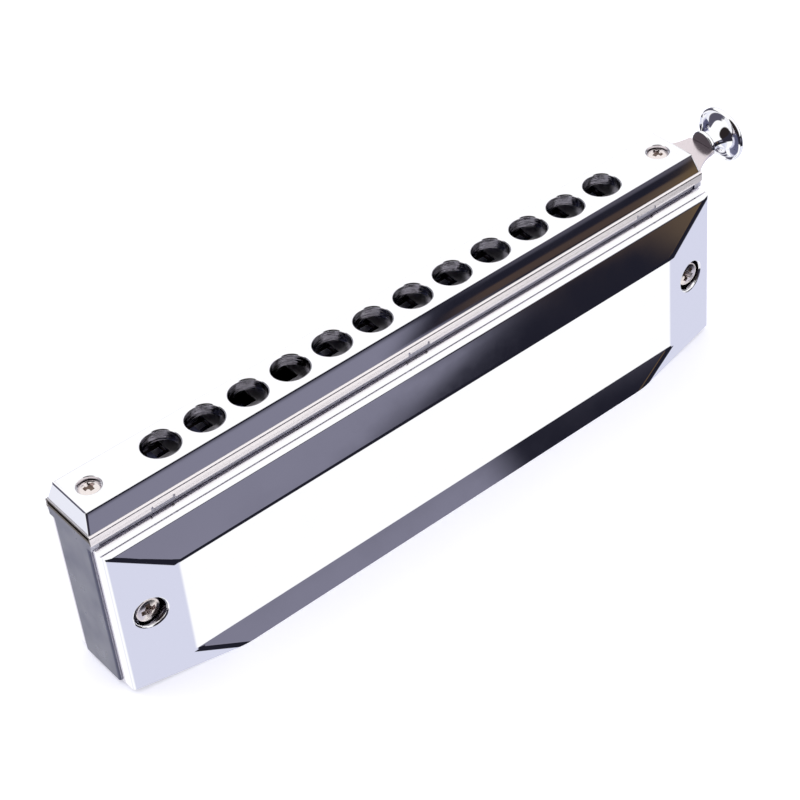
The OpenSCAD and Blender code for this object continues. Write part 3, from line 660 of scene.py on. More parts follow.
def build_floor(scene):
    """A pale floor under the part, lit and a little aglow, that the chrome doesn't mirror."""
    low = CAD_BOX[0][2]
    square = [(x * FLOOR_HALF, y * FLOOR_HALF, low) for x, y in ((-1, -1), (1, -1), (1, 1), (-1, 1))]
    mesh = mesh_of("floor", lambda bm: bm.faces.new([bm.verts.new(point) for point in square]))
    floor = new_object("floor", mesh)
    mat = bpy.data.materials.new("pale_studio_floor")
    mat.use_nodes = True
    tree = mat.node_tree
    tree.nodes.clear()
    ray = add_node(tree, "ShaderNodeLightPath")
    seen = ray.outputs["Is Camera Ray"]
    for other in ("Is Glossy Ray", "Is Transmission Ray"):
        either = add_node(tree, "ShaderNodeMath", {0: seen, 1: ray.outputs[other]}, operation="MAXIMUM")
        seen = either.outputs["Value"]
    pale, shine = rgba(scene.harmonica_stage.floor), rgba(linear("F4F4FF"))
    lit = add_node(tree, "ShaderNodeBsdfDiffuse", {"Color": pale}).outputs["BSDF"]
    glow = add_node(tree, "ShaderNodeEmission", {"Color": shine, "Strength": FLOOR_GLOW})
    both = add_node(tree, "ShaderNodeAddShader", {0: lit, 1: glow.outputs["Emission"]})
    mixed = add_node(tree, "ShaderNodeMixShader", {0: seen, 1: lit, 2: both.outputs["Shader"]})
    out = add_node(tree, "ShaderNodeOutputMaterial")
    tree.links.new(mixed.outputs["Shader"], out.inputs["Surface"])
    mesh.materials.append(mat)
    floor.visible_glossy = False


def build_camera(scene):
    data = bpy.data.cameras.new("camera")
    data.sensor_width = SENSOR_MM
    data.lens = FOCAL_PX / FRAME_PX * SENSOR_MM
    data.clip_start, data.clip_end = CLIP_NEAR, CLIP_FAR
    camera = bpy.data.objects.new("camera", data)
    scene.collection.objects.link(camera)
    turn = Matrix((CAMERA_RIGHT, CAMERA_UP, -CAMERA_FORWARD)).transposed()
    camera.matrix_world = Matrix.Translation(CAMERA_PLACE) @ turn.to_4x4()
    scene.camera = camera


def build_key(scene):
    data = bpy.data.lights.new("key", "AREA")
    data.shape = "DISK"
    data.size = KEY_SIZE
    data.energy = scene.harmonica_stage.key
    lamp = bpy.data.objects.new("key", data)
    scene.collection.objects.link(lamp)
    lamp.location = KEY_PLACE
    lamp.rotation_euler = (-KEY_PLACE).to_track_quat("-Z", "Y").to_euler()
    lamp.visible_glossy = False


class HARMONICA_OT_stage(bpy.types.Operator):
    """Makes the studio: camera, floor, world and the soft key light"""

    bl_idname = "harmonica.stage"
    bl_label = "Stage"

    def execute(self, context):
        scene = context.scene
        build_camera(scene)
        build_world(scene)
        build_floor(scene)
        build_key(scene)
        scene.view_settings.view_transform = "Standard"
        return {"FINISHED"}


# Geometry Nodes that make what repeats


def new_tree(name, inputs, output):
    """A tree with named inputs and one geometry output, and the sockets that its inputs come from."""
    tree = bpy.data.node_groups.new(name, "GeometryNodeTree")
    for key, kind in inputs.items():
        tree.interface.new_socket(key, in_out="INPUT", socket_type="NodeSocket" + kind)
    tree.interface.new_socket(output, in_out="OUTPUT", socket_type="NodeSocketGeometry")
    return tree, add_node(tree, "NodeGroupInput").outputs


def centred_row(tree, count, pitch, centre=(0.0, 0.0, 0.0)):
    """Points at an even pitch along X, with the middle of the row at centre."""
    gaps = add_node(tree, "ShaderNodeMath", {0: count, 1: 1.0}, operation="SUBTRACT").outputs["Value"]
    run = add_node(tree, "ShaderNodeMath", {0: gaps, 1: pitch}, operation="MULTIPLY").outputs["Value"]
    start = add_node(tree, "ShaderNodeMath", {0: run, 1: -0.5}, operation="MULTIPLY").outputs["Value"]
    first = add_node(tree, "ShaderNodeCombineXYZ", {"X": start}).outputs["Vector"]
    place = add_node(tree, "ShaderNodeVectorMath", {0: first, 1: centre}, operation="ADD")
    step = add_node(tree, "ShaderNodeCombineXYZ", {"X": pitch})
    values = {
        "Count": count,
        "Start Location": place.outputs["Vector"],
        "Offset": step.outputs["Vector"],
    }
    return add_node(tree, "GeometryNodeMeshLine", values, mode="OFFSET", count_mode="TOTAL").outputs["Mesh"]


def end_tree(tree, geometry, finish):
    """The way out of a tree: instances made real, with their finish set."""
    real = add_node(tree, "GeometryNodeRealizeInstances", {"Geometry": geometry}).outputs["Geometry"]
    dressed = add_node(tree, "GeometryNodeSetMaterial", {"Geometry": real, "Material": finish})
    out = add_node(tree, "NodeGroupOutput")
    tree.links.new(dressed.outputs["Geometry"], out.inputs[0])


def run_tree(obj, tree, values):
    """Puts the tree on the object with its inputs set by socket identifier, and settles it."""
    made = obj.modifiers.new(tree.name, "NODES")
    made.node_group = tree
    names = {s.name: s.identifier for s in tree.interface.items_tree if s.in_out == "INPUT"}
    for name, value in values.items():
        made[names[name]] = value
    settle(obj)


# The mouthpiece

FLANK_STEPS = 12


def hole_cutter(bore, lip, low, top):
    """The air left by one blow hole: a bore that opens over a rounded lip."""
    over = 1.0 * MM
    lip_arc = arc(bore / 2 + lip, top - lip, lip, 180, 90, 10)
    profile = [(0, low - over), (bore / 2, low - over)] + lip_arc
    profile += [(bore / 2 + lip, top + over), (0, top + over)]
    return turned("hole_cutter", profile, 96)


def mouthpiece_tree():
    """Blow holes and pockets cut from the bar in a row, at an even pitch."""
    inputs = {
        "Bar": "Geometry",
        "Hole": "Object",
        "Pocket": "Object",
        "Count": "Int",
        "Pitch": "Float",
        "Finish": "Material",
    }
    tree, given = new_tree("blow_hole_row", inputs, "Mouthpiece")
    row = centred_row(tree, given["Count"], given["Pitch"])
    solid = given["Bar"]
    for name in ("Pocket", "Hole"):
        tool = add_node(tree, "GeometryNodeObjectInfo", {"Object": given[name]}).outputs["Geometry"]
        copies = add_node(tree, "GeometryNodeInstanceOnPoints", {"Points": row, "Instance": tool})
        real = add_node(
            tree, "GeometryNodeRealizeInstances", {"Geometry": copies.outputs["Instances"]}
        )
        tools = {"Mesh 1": solid, "Mesh 2": real.outputs["Geometry"]}
        cut = add_node(
            tree, "GeometryNodeMeshBoolean", tools, operation="DIFFERENCE", solver="MANIFOLD"
        )
        solid = cut.outputs["Mesh"]
    end_tree(tree, solid, given["Finish"])
    return tree


def round_corners(bar, width):
    """Rounds the four upright corners of the bar, where an end slope meets a long slope."""
    flat_deg, slope = 0.2, 0.8
    bm = bmesh.new()
    bm.from_mesh(bar.data)
    bmesh.ops.remove_doubles(bm, verts=bm.verts, dist=MERGE)
    bmesh.ops.dissolve_limit(bm, angle_limit=math.radians(flat_deg), verts=bm.verts, edges=bm.edges)
    bm.normal_update()
    found = []
    for edge in bm.edges:
        if len(edge.link_faces) == 2:
            a, b = (face.normal for face in edge.link_faces)
            if any(abs(p.x) > slope and abs(q.y) > slope for p, q in ((a, b), (b, a))):
                found.append(edge)
    bmesh.ops.bevel(
        bm, geom=found, offset=width, offset_type="OFFSET", segments=8, profile=0.5, affect="EDGES"
    )
    bm.to_mesh(bar.data)
    bm.free()


class HARMONICA_OT_mouthpiece(bpy.types.Operator):
    """Makes the chromed mouthpiece with its row of round blow holes"""

    bl_idname = "harmonica.mouthpiece"
    bl_label = "Mouthpiece"

    def execute(self, context):
        m = context.scene.harmonica_mouthpiece
        low, high = box_of("mouthpiece")
        top, foot = high.z, low.z
        half_w, half_l = high.y, high.x
        over = 2.0 * MM
        flat_w, lean, bow = 5.2 * MM, 1.0 * MM, 0.055 * MM
        end_edge, corner_w = 0.7 * MM, 0.4 * MM
        flank = bowed((half_w, foot), (flat_w, top), bow, FLANK_STEPS)
        corners = [(-u, v) for u, v in reversed(flank)] + flank
        radii = [0.0] * len(corners)
        radii[0], radii[-1] = m.edge, m.edge
        across = rounded(corners, radii)
        along = rounded(
            [(-half_l, foot), (half_l, foot), (half_l - lean, top), (-half_l + lean, top)],
            [0, 0, end_edge, end_edge],
        )
        bar = prism("mouthpiece_bar", across, -half_l - over, half_l + over, lambda u, v, w: (w, u, v))
        ends = prism("bar_ends", along, -half_w - over, half_w + over, lambda u, v, w: (u, w, v))
        carve(bar, ends, "INTERSECT")
        round_corners(bar, corner_w)

        seat_r, seat_depth, shank_r, seat_lip = 2.3 * MM, 1.5 * MM, 1.2 * MM, 0.25 * MM
        screw_low, screw_high = box_of("mouthpiece_screws")
        screw_x = (screw_high.x - screw_low.x) / 2 - (screw_high.y - screw_low.y) / 2
        profile = [(0, foot - over), (shank_r, foot - over), (shank_r, top - seat_depth)]
        profile += [(seat_r, top - seat_depth)]
        profile += arc(seat_r + seat_lip, top - seat_lip, seat_lip, 180, 90, 6)
        profile += [(seat_r + seat_lip, top + over), (0, top + over)]
        for x in (-screw_x, screw_x):
            carve(bar, turned("screw_seat", profile, 64, "Z", (x, 0, 0)))

        hole = hole_cutter(m.bore, m.lip, foot, top)
        pocket_half, pocket_w, pocket_rise = 3.9 * MM, 5.2 * MM, 1.6 * MM
        corner_r, corner_step_deg = 0.6 * MM, 15
        plan = [
            (-pocket_half, -pocket_w),
            (pocket_half, -pocket_w),
            (pocket_half, pocket_w),
            (-pocket_half, pocket_w),
        ]
        plan = rounded(plan, [corner_r] * 4, corner_step_deg)
        pocket = prism("pocket_cutter", plan, foot - over, foot + pocket_rise, lambda u, v, w: (u, v, w))
        values = {
            "Hole": hole,
            "Pocket": pocket,
            "Count": m.holes,
            "Pitch": m.pitch,
            "Finish": finish_of("chrome"),
        }
        run_tree(bar, mouthpiece_tree(), values)
        drop(hole)
        drop(pocket)
        bar.name = "mouthpiece_bar"
        soften(bar, 24)
        give(bar, "chrome", "bore")
        wall_top, wall_reach, upright = top - m.lip, m.bore * 0.51, 0.2
        mark(bar, 1, lambda at, way: at.z < wall_top and abs(way.z) < upright and abs(at.y) < wall_reach)
        seat(bar, BODY, "mouthpiece")
        return {"FINISHED"}


# The covers

# Cover sizes, in millimetres, where the CAD boxes alone don't tell them: OUT is a distance from the middle
# plane, HALF one from the middle of the length, and heights are above the rear rims
RIM_OUT = 9.3
PLATEAU_OUT = 11.6
PLATEAU_LOW = 4.5
PLATEAU_HIGH = 26.8
PLATEAU_HALF = 59.75
FLAT_HALF = 50.1
CORNER_LIFT = 1.2
CUP_Z = 18.0
CUP_FLOOR_R = 2.9
CUP_MOUTH_R = 3.15
# The rolled front edge: how far it turns in and out, its drop and rounding, then the bead, trough and
# ledge behind it
ROLL_IN = 0.22
ROLL_OUT = 0.21
ROLL_DROP = 0.85
ROLL_ROUND = 0.45
BEAD_W = 0.58
BEAD_ROUND = 0.2
TROUGH_DEPTH = 0.2
TROUGH_FLANK = 0.4
TROUGH_ROUND = 0.25
LEDGE_RISE = 0.3
END_ROUND = 0.7
LEAST_ROUND = 0.1
# The shoulder above the roll is this many times rounder, and the two long bends are tighter
SHOULDER_TIMES = 4
LONG_BEND_SHARE = 0.5
# How far blocks and tools reach past what they make
UNDER = 4.0
PAST = 3.0
CREST_PAST = 6.0
END_SPARE = 5.0
SPARE = 2.0


def inset_outline(points, depths):
    """Moves each side of a closed outline inwards by its depth; side i runs from point i to the next."""
    n = len(points)
    lines = []
    for i in range(n):
        a, b = Vector(points[i]), Vector(points[(i + 1) % n])
        d = (b - a).normalized()
        normal = Vector((-d.y, d.x))
        lines.append((a + normal * depths[i], d))
    out = []
    for i in range(n):
        (p, d), (q, e) = lines[i - 1], lines[i]
        cross = d.x * e.y - d.y * e.x
        if abs(cross) < PARALLEL:
            out.append((q.x, q.y))
            continue
        t = ((q.x - p.x) * e.y - (q.y - p.y) * e.x) / cross
        out.append((p.x + d.x * t, p.y + d.y * t))
    return out


def crossed(side, section, plan, half, low, high):
    """The solid common to a section run along X and a plan run along Z, in millimetres."""
    block = prism("cover_block", section, -half, half, lambda u, v, w: (w * MM, side * u * MM, v * MM))
    ends = prism("cover_plan", plan, low, high, lambda u, v, w: (u * MM, side * v * MM, w * MM))
    carve(block, ends, "INTERSECT")
    return block


def round_bends(block, width, long_share):
    """Rounds the eight shallow bends of the pressing; the two long ones are tighter by long_share."""
    bends, segments = 8, 8
    flat_deg, least_length, least_deg, most_deg, along_x = 0.3, 3.0 * MM, 8.0, 30.0, 0.99
    bm = bmesh.new()
    bm.from_mesh(block.data)
    bmesh.ops.remove_doubles(bm, verts=bm.verts, dist=MERGE)
    bmesh.ops.dissolve_limit(bm, angle_limit=math.radians(flat_deg), verts=bm.verts, edges=bm.edges)
    bm.normal_update()
    weight = bm.edges.layers.float.new("bevel_weight_edge")
    found = 0
    for edge in bm.edges:
        if len(edge.link_faces) == 2 and edge.calc_length() > least_length:
            if least_deg < math.degrees(edge.calc_face_angle(0)) < most_deg:
                along = edge.verts[0].co - edge.verts[1].co
                edge[weight] = long_share if abs(along.x) > along_x * along.length else 1.0
                found += 1
    if found != bends:
        raise RuntimeError("the pressing should have %d shallow bends, not %d" % (bends, found))
    bm.to_mesh(block.data)
    bm.free()
    made = block.modifiers.new("bends", "BEVEL")
    made.limit_method = "WEIGHT"
    made.width = width
    made.segments = segments
    made.use_clamp_overlap = False
    settle(block)


def cover_shell(side, sheet, bend, inner):
    """One cover's outer block, or the space inside it, drawn in millimetres."""
    low, high = box_of("rear_cover")
    half = high.x / MM
    plate_y, rear_y = low.y / MM, high.y / MM
    rear_z, rim_z = low.z / MM, high.z / MM
    flare = (rear_y - PLATEAU_OUT) / PLATEAU_LOW
    depth = sheet / MM if inner else 0.0
    base = plate_y - PAST if inner else plate_y
    bead_y = RIM_OUT - BEAD_W
    section = [
        (base, rear_z - UNDER),
        (rear_y + flare * UNDER, rear_z - UNDER),
        (PLATEAU_OUT, rear_z + PLATEAU_LOW),
        (PLATEAU_OUT, rear_z + PLATEAU_HIGH),
        (RIM_OUT + ROLL_OUT, rim_z - ROLL_DROP),
        (RIM_OUT - ROLL_IN, rim_z),
        (bead_y, rim_z),
        (bead_y - TROUGH_FLANK, rim_z - TROUGH_DEPTH),
        (plate_y, rim_z + LEDGE_RISE),
    ]
    if inner:
        section.append((base, rim_z + LEDGE_RISE))
    section = inset_outline(section, [0.0] + [depth] * (len(section) - 2) + [0.0])
    roll = max(ROLL_ROUND - depth, LEAST_ROUND)
    radii = [0, 0, 0, 0, roll * SHOULDER_TIMES, roll, BEAD_ROUND, TROUGH_ROUND]
    section = rounded(section, radii + [0] * (len(section) - len(radii)))
    facet = (PLATEAU_OUT - RIM_OUT) / (half - PLATEAU_HALF)
    crest_y = rear_y + CREST_PAST
    crest_x = half - (crest_y - RIM_OUT) / facet
    crest = [(crest_x, crest_y), (-crest_x, crest_y)]
    plan = [(-half, base), (half, base), (half, RIM_OUT)] + crest + [(-half, RIM_OUT)]
    plan = inset_outline(plan, [0, depth, depth, depth, depth, depth])
    end_r = max(END_ROUND - depth, LEAST_ROUND)
    plan = rounded(plan, [0, 0, end_r, 0, 0, end_r])
    reach, deep = half + END_SPARE, rear_z - UNDER - SPARE
    block = crossed(side, section, plan, reach, deep, rim_z + SPARE)
    if inner:
        return block
    lean = (PLATEAU_OUT - RIM_OUT) / (rear_z + PLATEAU_HIGH - rim_z)
    core_section = [
        (base - 1, rear_z - UNDER - 1),
        (rear_y + flare * (UNDER + 1), rear_z - UNDER - 1),
        (PLATEAU_OUT, rear_z + PLATEAU_LOW),
        (PLATEAU_OUT, rear_z + PLATEAU_HIGH),
        (RIM_OUT + lean * PAST, rim_z + PAST),
        (base - 1, rim_z + PAST),
    ]
    foot, end = half + PAST, RIM_OUT - facet * PAST
    core_plan = [(-foot, base - 1), (foot, base - 1), (foot, end)] + crest + [(-foot, end)]
    core = crossed(side, core_section, core_plan, reach, deep, rim_z + PAST + SPARE)
    round_bends(core, bend, LONG_BEND_SHARE)
    carve(block, core, "INTERSECT")
    return block


def cup_tools(side, x, sheet, lip):
    """The pot that holds a cover screw, the space in it and the lip round its mouth."""
    low, high = box_of("rear_cover")
    plate_y = low.y
    half = high.x
    cup_z = low.z + CUP_Z * MM
    slope = (PLATEAU_OUT - RIM_OUT) * MM / (half - PLATEAU_HALF * MM)
    mouth_y = RIM_OUT * MM + slope * (half - abs(x))
    floor_y = plate_y + sheet
    floor_r, mouth_r = CUP_FLOOR_R * MM, CUP_MOUTH_R * MM
    far = 4.0 * MM
    corner = 0.35 * MM
    pot = [(0, plate_y), (floor_r + sheet, plate_y), (mouth_r + sheet, mouth_y + far), (0, mouth_y + far)]
    wall = math.degrees(math.atan2(mouth_r - floor_r, mouth_y - floor_y))
    space = [(0, floor_y)] + arc(floor_r - corner, floor_y + corner, corner, -90, -wall, 6)
    space += [(mouth_r, mouth_y), (mouth_r, mouth_y + far), (0, mouth_y + far)]
    flare = [(0, -lip)] + arc(mouth_r + lip, -lip, lip, 180, 90, 8)
    flare += [(mouth_r + lip, far), (0, far)]
    hole_r = 1.35 * MM
    hole = [(0, plate_y - far), (hole_r, plate_y - far), (hole_r, floor_y + far), (0, floor_y + far)]
    tools = []
    for name, profile in (("pot", pot), ("space", space), ("hole", hole)):
        tools.append(turned(name, [(r, side * h) for r, h in profile], 96, "Y", (x, 0, cup_z)))
    mouth = turned("mouth", [(r, side * h) for r, h in flare], 96, "Y")
    lean = math.atan(slope) * (1 if x > 0 else -1) * -side
    mouth.data.transform(Matrix.Translation((x, side * mouth_y, cup_z)) @ Matrix.Rotation(lean, 4, "Z"))
    return tools + [mouth]


def build_cover(node, side):
    """One pressed cover with its two screw cups, at the side of the middle plane that is given as a sign."""
    sizes = bpy.context.scene.harmonica_covers
    cover = cover_shell(side, sizes.sheet, sizes.bend, False)
    inside = cover_shell(side, sizes.sheet, sizes.bend, True)
    whole = cover.data.copy()
    carve(cover, inside)
    low, high = box_of("cover_screws")
    cup_x = (high.x - low.x) / 2 - (high.z - low.z) / 2
    for x in (-cup_x, cup_x):
        pot, space, hole, mouth = cup_tools(side, x, sizes.sheet, sizes.cup_lip)
        carve(pot, new_object("outer", whole.copy()), "INTERSECT")
        carve(cover, pot, "UNION")
        for tool in (space, mouth, hole):
            carve(cover, tool)
    bpy.data.meshes.remove(whole)

    # The rear edge is flat in the middle and lifts towards both ends
    low, high = box_of(node)
    half, rear_z = high.x / MM, low.z / MM
    far_x, far_y, deep = half + 1.0, 40, rear_z - 20.0
    lift = rear_z + CORNER_LIFT * (far_x - FLAT_HALF) / (half - FLAT_HALF)
    right = [(FLAT_HALF, rear_z), (far_x, lift), (far_x, deep)]
    under = [(-FLAT_HALF, rear_z)] + right + [(-far_x, deep), (-far_x, lift)]
    carve(cover, prism("trim", under, -far_y, far_y, lambda u, v, w: (u * MM, w * MM, v * MM)))

    cover.name = node + "_pressing"
    soften(cover, 6.0)
    give(cover, "chrome", "wall")
    axis_z = rear_z * MM + CUP_Z * MM
    below_face = (RIM_OUT - 0.1) * MM

    def in_cup_shade(at, way):
        away = math.hypot(abs(at.x) - cup_x, at.z - axis_z)
        return away < CUP_MOUTH_R * MM and abs(at.y) < below_face

    # The walls inside the screw cups get chrome with painted shade
    mark(cover, 1, in_cup_shade)
    seat(cover, BODY, node)


class HARMONICA_OT_covers(bpy.types.Operator):
    """Makes the two pressed and chromed covers"""

    bl_idname = "harmonica.covers"
    bl_label = "Covers"

    def execute(self, context):
        build_cover("front_cover", -1)
        build_cover("rear_cover", 1)
        return {"FINISHED"}


# Cage, slide, button and comb


class HARMONICA_OT_slide_cage(bpy.types.Operator):
    """Dresses the nickel-plated cage and the plate under the slide"""

    bl_idname = "harmonica.slide_cage"
    bl_label = "Slide cage"

    def execute(self, context):
        cage = merged_copy("slide_cage", "slide_cage_channel")
        soften(cage, 30, bevel_mm=0.1, segments=3)
        give(cage, "nickel", "painted_shade_nickel", "sheared")
        high = box_of("slide_cage")[1]
        end_x, inside_y = high.x - 0.3 * MM, high.y - 0.6 * MM
        # The cage's faces that look up or lie inside get nickel with painted shade
        mark(cage, 1, lambda at, way: way.z > LOOKS_ALONG or abs(at.y) < inside_y)
        # The cage's ends get dark brown: bared brass with painted shade
        mark(cage, 2, lambda at, way: abs(way.x) > LOOKS_ALONG and abs(at.x) > end_x)
        seat(cage, BODY, "slide_cage")
        # The back plate behind the slide gets the same dark brown, as painted shade
        paint("slide_back_plate", "sheared")
        return {"FINISHED"}


class HARMONICA_OT_slide(bpy.types.Operator):
    """Dresses the slide"""

    bl_idname = "harmonica.slide"
    bl_label = "Slide"

    def execute(self, context):
        blade = merged_copy("slide", "slide_blade")
        soften(blade, 30, bevel_mm=0.06)
        # The blade's colour holds painted shade where it runs inside the cage
        give(blade, "blade")
        seat(blade, SLIDER, "slide")
        return {"FINISHED"}


class HARMONICA_OT_button(bpy.types.Operator):
    """Makes the turned, trumpet-shaped slide button"""

    bl_idname = "harmonica.button"
    bl_label = "Slide button"

    def execute(self, context):
        b = context.scene.harmonica_button
        low, high = box_of("slide_button")
        x0, length = low.x, high.x - low.x
        axis_z = (low.z + high.z) / 2
        inside_box = 0.005 * MM
        flange_r, waist_r, rim_r = b.flange / 2, b.waist / 2, b.rim / 2 - inside_box
        rim_round, rim_lip, crown = 0.75 * MM, 0.35 * MM, 0.7 * MM
        flange_t, edge = 0.9 * MM, 0.3 * MM
        crown_reach = rim_r - rim_round
        flare_x = length - crown - 2 * rim_round
        flare_r = crown_reach - waist_r + rim_lip
        crown_r = (crown * crown + crown_reach**2) / (2 * crown)
        profile = [(0, 0)]
        profile += arc(flange_r - edge, edge, edge, -90, 0, 6)
        profile += arc(flange_r - edge, flange_t - edge, edge, 0, 90, 6)
        profile += arc(waist_r + edge, flange_t + edge, edge, -90, -180, 5)
        top = flare_x + rim_round - flare_r
        sweep = math.degrees(math.acos(min(1.0, (waist_r + flare_r - rim_r + rim_round) / flare_r)))
        profile += arc(waist_r + flare_r, top, flare_r, 180, 180 - sweep, 24)
        profile += arc(crown_reach, flare_x + rim_round, rim_round, -60, 90, 16)
        profile += dome(crown_reach, length, crown_r, 16)
        button = turned("slide_button_turning", profile, 128, "X", (x0, 0, axis_z))
        tongue_half, tongue_t, tongue_len, over = 1.95 * MM, 0.35 * MM, 2.25 * MM, 1.0 * MM
        plan = [
            (x0 - over, -tongue_half),
            (x0 + tongue_len, -tongue_half),
            (x0 + tongue_len, tongue_half),
            (x0 - over, tongue_half),
        ]
        slot = prism("tongue_slot", plan, axis_z - tongue_t, axis_z + tongue_t, lambda u, v, w: (u, v, w))
        carve(button, slot)
        soften(button, 32)
        give(button, "chrome", "face")
        # The flange's face gets dark grey as a painted reflection
        mark(button, 1, lambda at, way: way.x < -LOOKS_ALONG and at.x < x0 + edge)
        seat(button, SLIDER, "slide_button")
        return {"FINISHED"}


class HARMONICA_OT_comb(bpy.types.Operator):
    """Dresses the moulded comb"""

    bl_idname = "harmonica.comb"
    bl_label = "Comb"

    def execute(self, context):
        comb = merged_copy("comb", "comb_moulding")
        soften(comb, 30)
        give(comb, "plastic", "rail")
        # Faces that look along Y, the rails among them, get pale ABS as painted light
        mark(comb, 1, lambda at, way: abs(way.y) > LOOKS_ALONG)
        seat(comb, BODY, "comb")
        return {"FINISHED"}


# The screws


def screw_mesh(head_r, head_h, shank_r, shank_len, dome_share):
    """A domed screw on Z with its seat at 0, and a cross recess in its head."""
    rise = head_h * dome_share
    ball_r = (rise * rise + head_r * head_r) / (2 * rise)
    edge = head_h * 0.16
    edge_in = edge * 0.6
    profile = [(0, -shank_len), (shank_r, -shank_len), (shank_r, 0)]
    profile += arc(head_r - edge, edge, edge, -90, 0, 5)
    profile += arc(head_r - edge, head_h - rise - edge_in, edge, 0, 55, 5)
    profile += dome(head_r - edge_in, head_h, ball_r, 14)
    screw = turned("screw_head", profile, 72)
    reach, wide, deep = head_r * 0.66, head_r * 0.2, head_h * 0.5
    foot, spread, floor_z, top_z = reach * 0.55, 1.6, head_h - deep, head_h * 1.2
    outline = [(-reach, head_h), (reach, head_h), (foot, floor_z), (-foot, floor_z)]
    for turn in (0, math.pi / 2):
        arm = prism("recess_arm", outline, -wide, wide, lambda u, v, w: (u, w, v))
        for v in arm.data.vertices:
            if v.co.z > head_h - MERGE:
                v.co.z += head_h
                v.co.x *= spread
        arm.data.transform(Matrix.Rotation(turn, 4, "Z"))
        carve(screw, arm)
    core = [(0, floor_z), (wide * 0.9, floor_z), (wide * 2.3, top_z), (0, top_z)]
    carve(screw, turned("recess_core", core, 24))
    return screw


def screw_tree():
    """The same screw in a row, each one turned further than the one before."""
    inputs = {
        "Screw": "Geometry",
        "Count": "Int",
        "Pitch": "Float",
        "Seat": "Vector",
        "Lean": "Vector",
        "Turn": "Float",
        "Finish": "Material",
    }
    tree, given = new_tree("screw_pair", inputs, "Screws")
    row = centred_row(tree, given["Count"], given["Pitch"], given["Seat"])
    index = add_node(tree, "GeometryNodeInputIndex").outputs["Index"]
    twist = add_node(tree, "ShaderNodeMath", {0: index, 1: given["Turn"]}, operation="MULTIPLY")
    about = add_node(tree, "ShaderNodeCombineXYZ", {"Z": twist.outputs["Value"]}).outputs["Vector"]
    turns = {"Rotation": given["Lean"], "Rotate By": about}
    spun = add_node(tree, "FunctionNodeRotateEuler", turns, space="LOCAL").outputs["Rotation"]
    values = {"Points": row, "Instance": given["Screw"], "Rotation": spun}
    copies = add_node(tree, "GeometryNodeInstanceOnPoints", values)
    end_tree(tree, copies.outputs["Instances"], given["Finish"])
    return tree


def seat_pair(node, screw, tree, head_r, head_h, half, top, outwards, values):
    """Two of the screw in the node's place; top is the middle between the tops of their heads."""
    given = {"Count": 2, "Pitch": 2 * half, "Finish": finish_of("steel")}
    run_tree(screw, tree, {**given, **values})
    screw.name = node[:-1] + "_pair"
    soften(screw, 30)
    give(screw, "steel", "recess")
    reach, depth = head_r * 0.8, head_h * 0.4

    def in_shaded_recess(at, way):
        for x in (-half, half):
            away = at - Vector((x, *top))
            down = -away.dot(outwards)
            if down > depth and (away + outwards * down).length < reach:
                return True
        return False

    # Faces deep in the cross recess get painted shade
    mark(screw, 1, in_shaded_recess)
    seat(screw, BODY, node)


class HARMONICA_OT_screws(bpy.types.Operator):
    """Makes the domed, cross-recessed screws of the mouthpiece and covers"""

    bl_idname = "harmonica.screws"
    bl_label = "Screws"

    def execute(self, context):
        tree = screw_tree()
        low, high = box_of("mouthpiece_screws")
        head_r, head_h, shank_r, dome_share = (high.y - low.y) / 2, 1.35 * MM, 1.1 * MM, 0.45
        half = (high.x - low.x) / 2 - head_r
        seat_z = high.z - head_h
        screw = screw_mesh(head_r, head_h, shank_r, seat_z - low.z, dome_share)
        values = {"Seat": (0.0, 0.0, seat_z), "Lean": (0.0, 0.0, 0.06), "Turn": 0.14}
        top, outwards = (0.0, high.z), Vector((0, 0, 1))
        seat_pair("mouthpiece_screws", screw, tree, head_r, head_h, half, top, outwards, values)

        # The photograph shows larger heads here than the solids have
        low, high = box_of("cover_screws")
        cad_r, cad_h, taller, wider = (high.z - low.z) / 2, 1.6 * MM, 0.9 * MM, 0.15 * MM
        head_r, head_h, shank_r, dome_share = cad_r + wider, cad_h + taller, 1.25 * MM, 0.12
        half = (high.x - low.x) / 2 - cad_r
        seat_y, z = low.y + cad_h, (low.z + high.z) / 2
        screw = screw_mesh(head_r, head_h, shank_r, high.y - seat_y, dome_share)
        values = {"Seat": (0.0, seat_y, z), "Lean": (math.pi / 2, 0.0, 0.0), "Turn": 0.9}
        top, outwards = (low.y - taller, z), Vector((0, -1, 0))
        seat_pair("cover_screws", screw, tree, head_r, head_h, half, top, outwards, values)
        return {"FINISHED"}


# What lies inside keeps its own mesh

INNER_FINISHES = {
    "sleeve": ("slide_bumpers",),
    "wire": ("slide_spring",),
    "brass": ("threaded_inserts", "front_reed_rivets", "rear_reed_rivets"),
    "plate": ("front_reed_plate", "rear_reed_plate"),
    "reed": ("front_blow_reeds", "front_draw_reeds", "rear_blow_reeds", "rear_draw_reeds"),
    "film": ("front_outer_valves", "front_inner_valves", "rear_outer_valves", "rear_inner_valves"),
    "steel": ("front_plate_screws", "rear_plate_screws", "cover_nuts"),
}


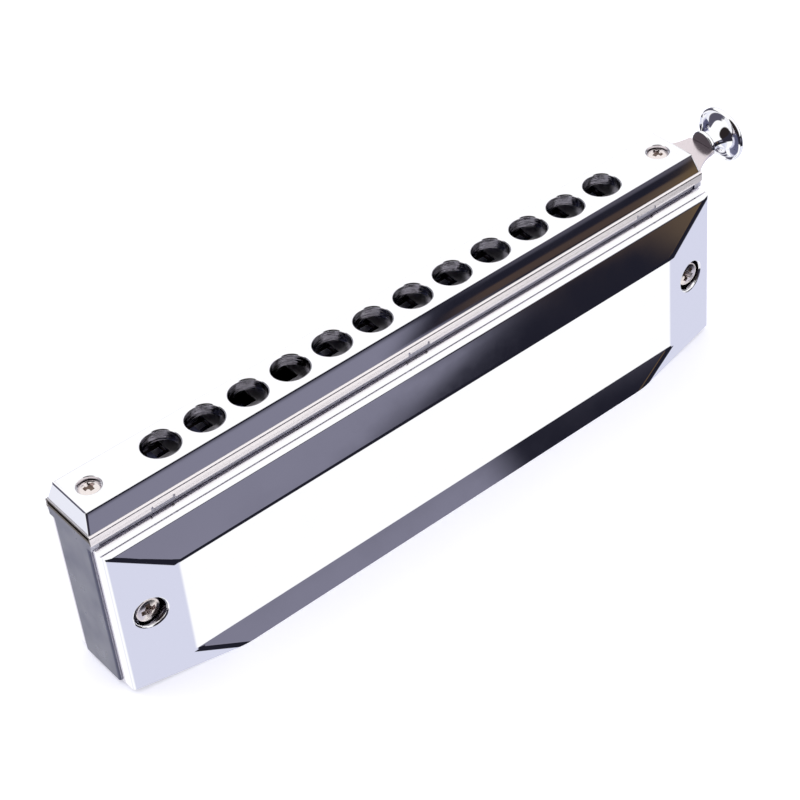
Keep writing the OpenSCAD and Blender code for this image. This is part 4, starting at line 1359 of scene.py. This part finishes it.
class HARMONICA_OT_reed_work(bpy.types.Operator):
    """Gives the reed plates, reeds, valves and small inner pieces their finishes"""

    bl_idname = "harmonica.reed_work"
    bl_label = "Reed work"

    def execute(self, context):
        for finish, nodes in INNER_FINISHES.items():
            for node in nodes:
                paint(node, finish)
        return {"FINISHED"}


STEPS = (
    HARMONICA_OT_stage,
    HARMONICA_OT_mouthpiece,
    HARMONICA_OT_covers,
    HARMONICA_OT_slide_cage,
    HARMONICA_OT_slide,
    HARMONICA_OT_button,
    HARMONICA_OT_comb,
    HARMONICA_OT_screws,
    HARMONICA_OT_reed_work,
)


class HARMONICA_PT_pieces(bpy.types.Panel):
    """Lists the harmonica's pieces, sizes and colours"""

    bl_idname = "HARMONICA_PT_pieces"
    bl_label = "Chromatic Harmonica"
    bl_space_type = "VIEW_3D"
    bl_region_type = "UI"
    bl_category = "Harmonica"

    def draw(self, context):
        for step in STEPS:
            self.layout.operator(step.bl_idname)
        for group in GROUPS:
            owner = getattr(context.scene, group)
            box = self.layout.box()
            for name in GROUPS[group].__annotations__:
                box.prop(owner, name)


GROUPS = {
    "harmonica_finishes": HarmonicaFinishes,
    "harmonica_mouthpiece": HarmonicaMouthpiece,
    "harmonica_covers": HarmonicaCovers,
    "harmonica_button": HarmonicaButton,
    "harmonica_stage": HarmonicaStage,
}


def register():
    for name, group in GROUPS.items():
        bpy.utils.register_class(group)
        setattr(bpy.types.Scene, name, bpy.props.PointerProperty(type=group))
    for step in STEPS:
        bpy.utils.register_class(step)
    bpy.utils.register_class(HARMONICA_PT_pieces)


def unregister():
    bpy.utils.unregister_class(HARMONICA_PT_pieces)
    for step in reversed(STEPS):
        bpy.utils.unregister_class(step)
    for name, group in reversed(GROUPS.items()):
        delattr(bpy.types.Scene, name)
        bpy.utils.unregister_class(group)


def main():
    register()
    for step in STEPS:
        area, name = step.bl_idname.split(".")
        done = getattr(getattr(bpy.ops, area), name)()
        if done != {"FINISHED"}:
            raise RuntimeError(step.bl_label + " didn't finish")


if __name__ == "__main__":
    main()
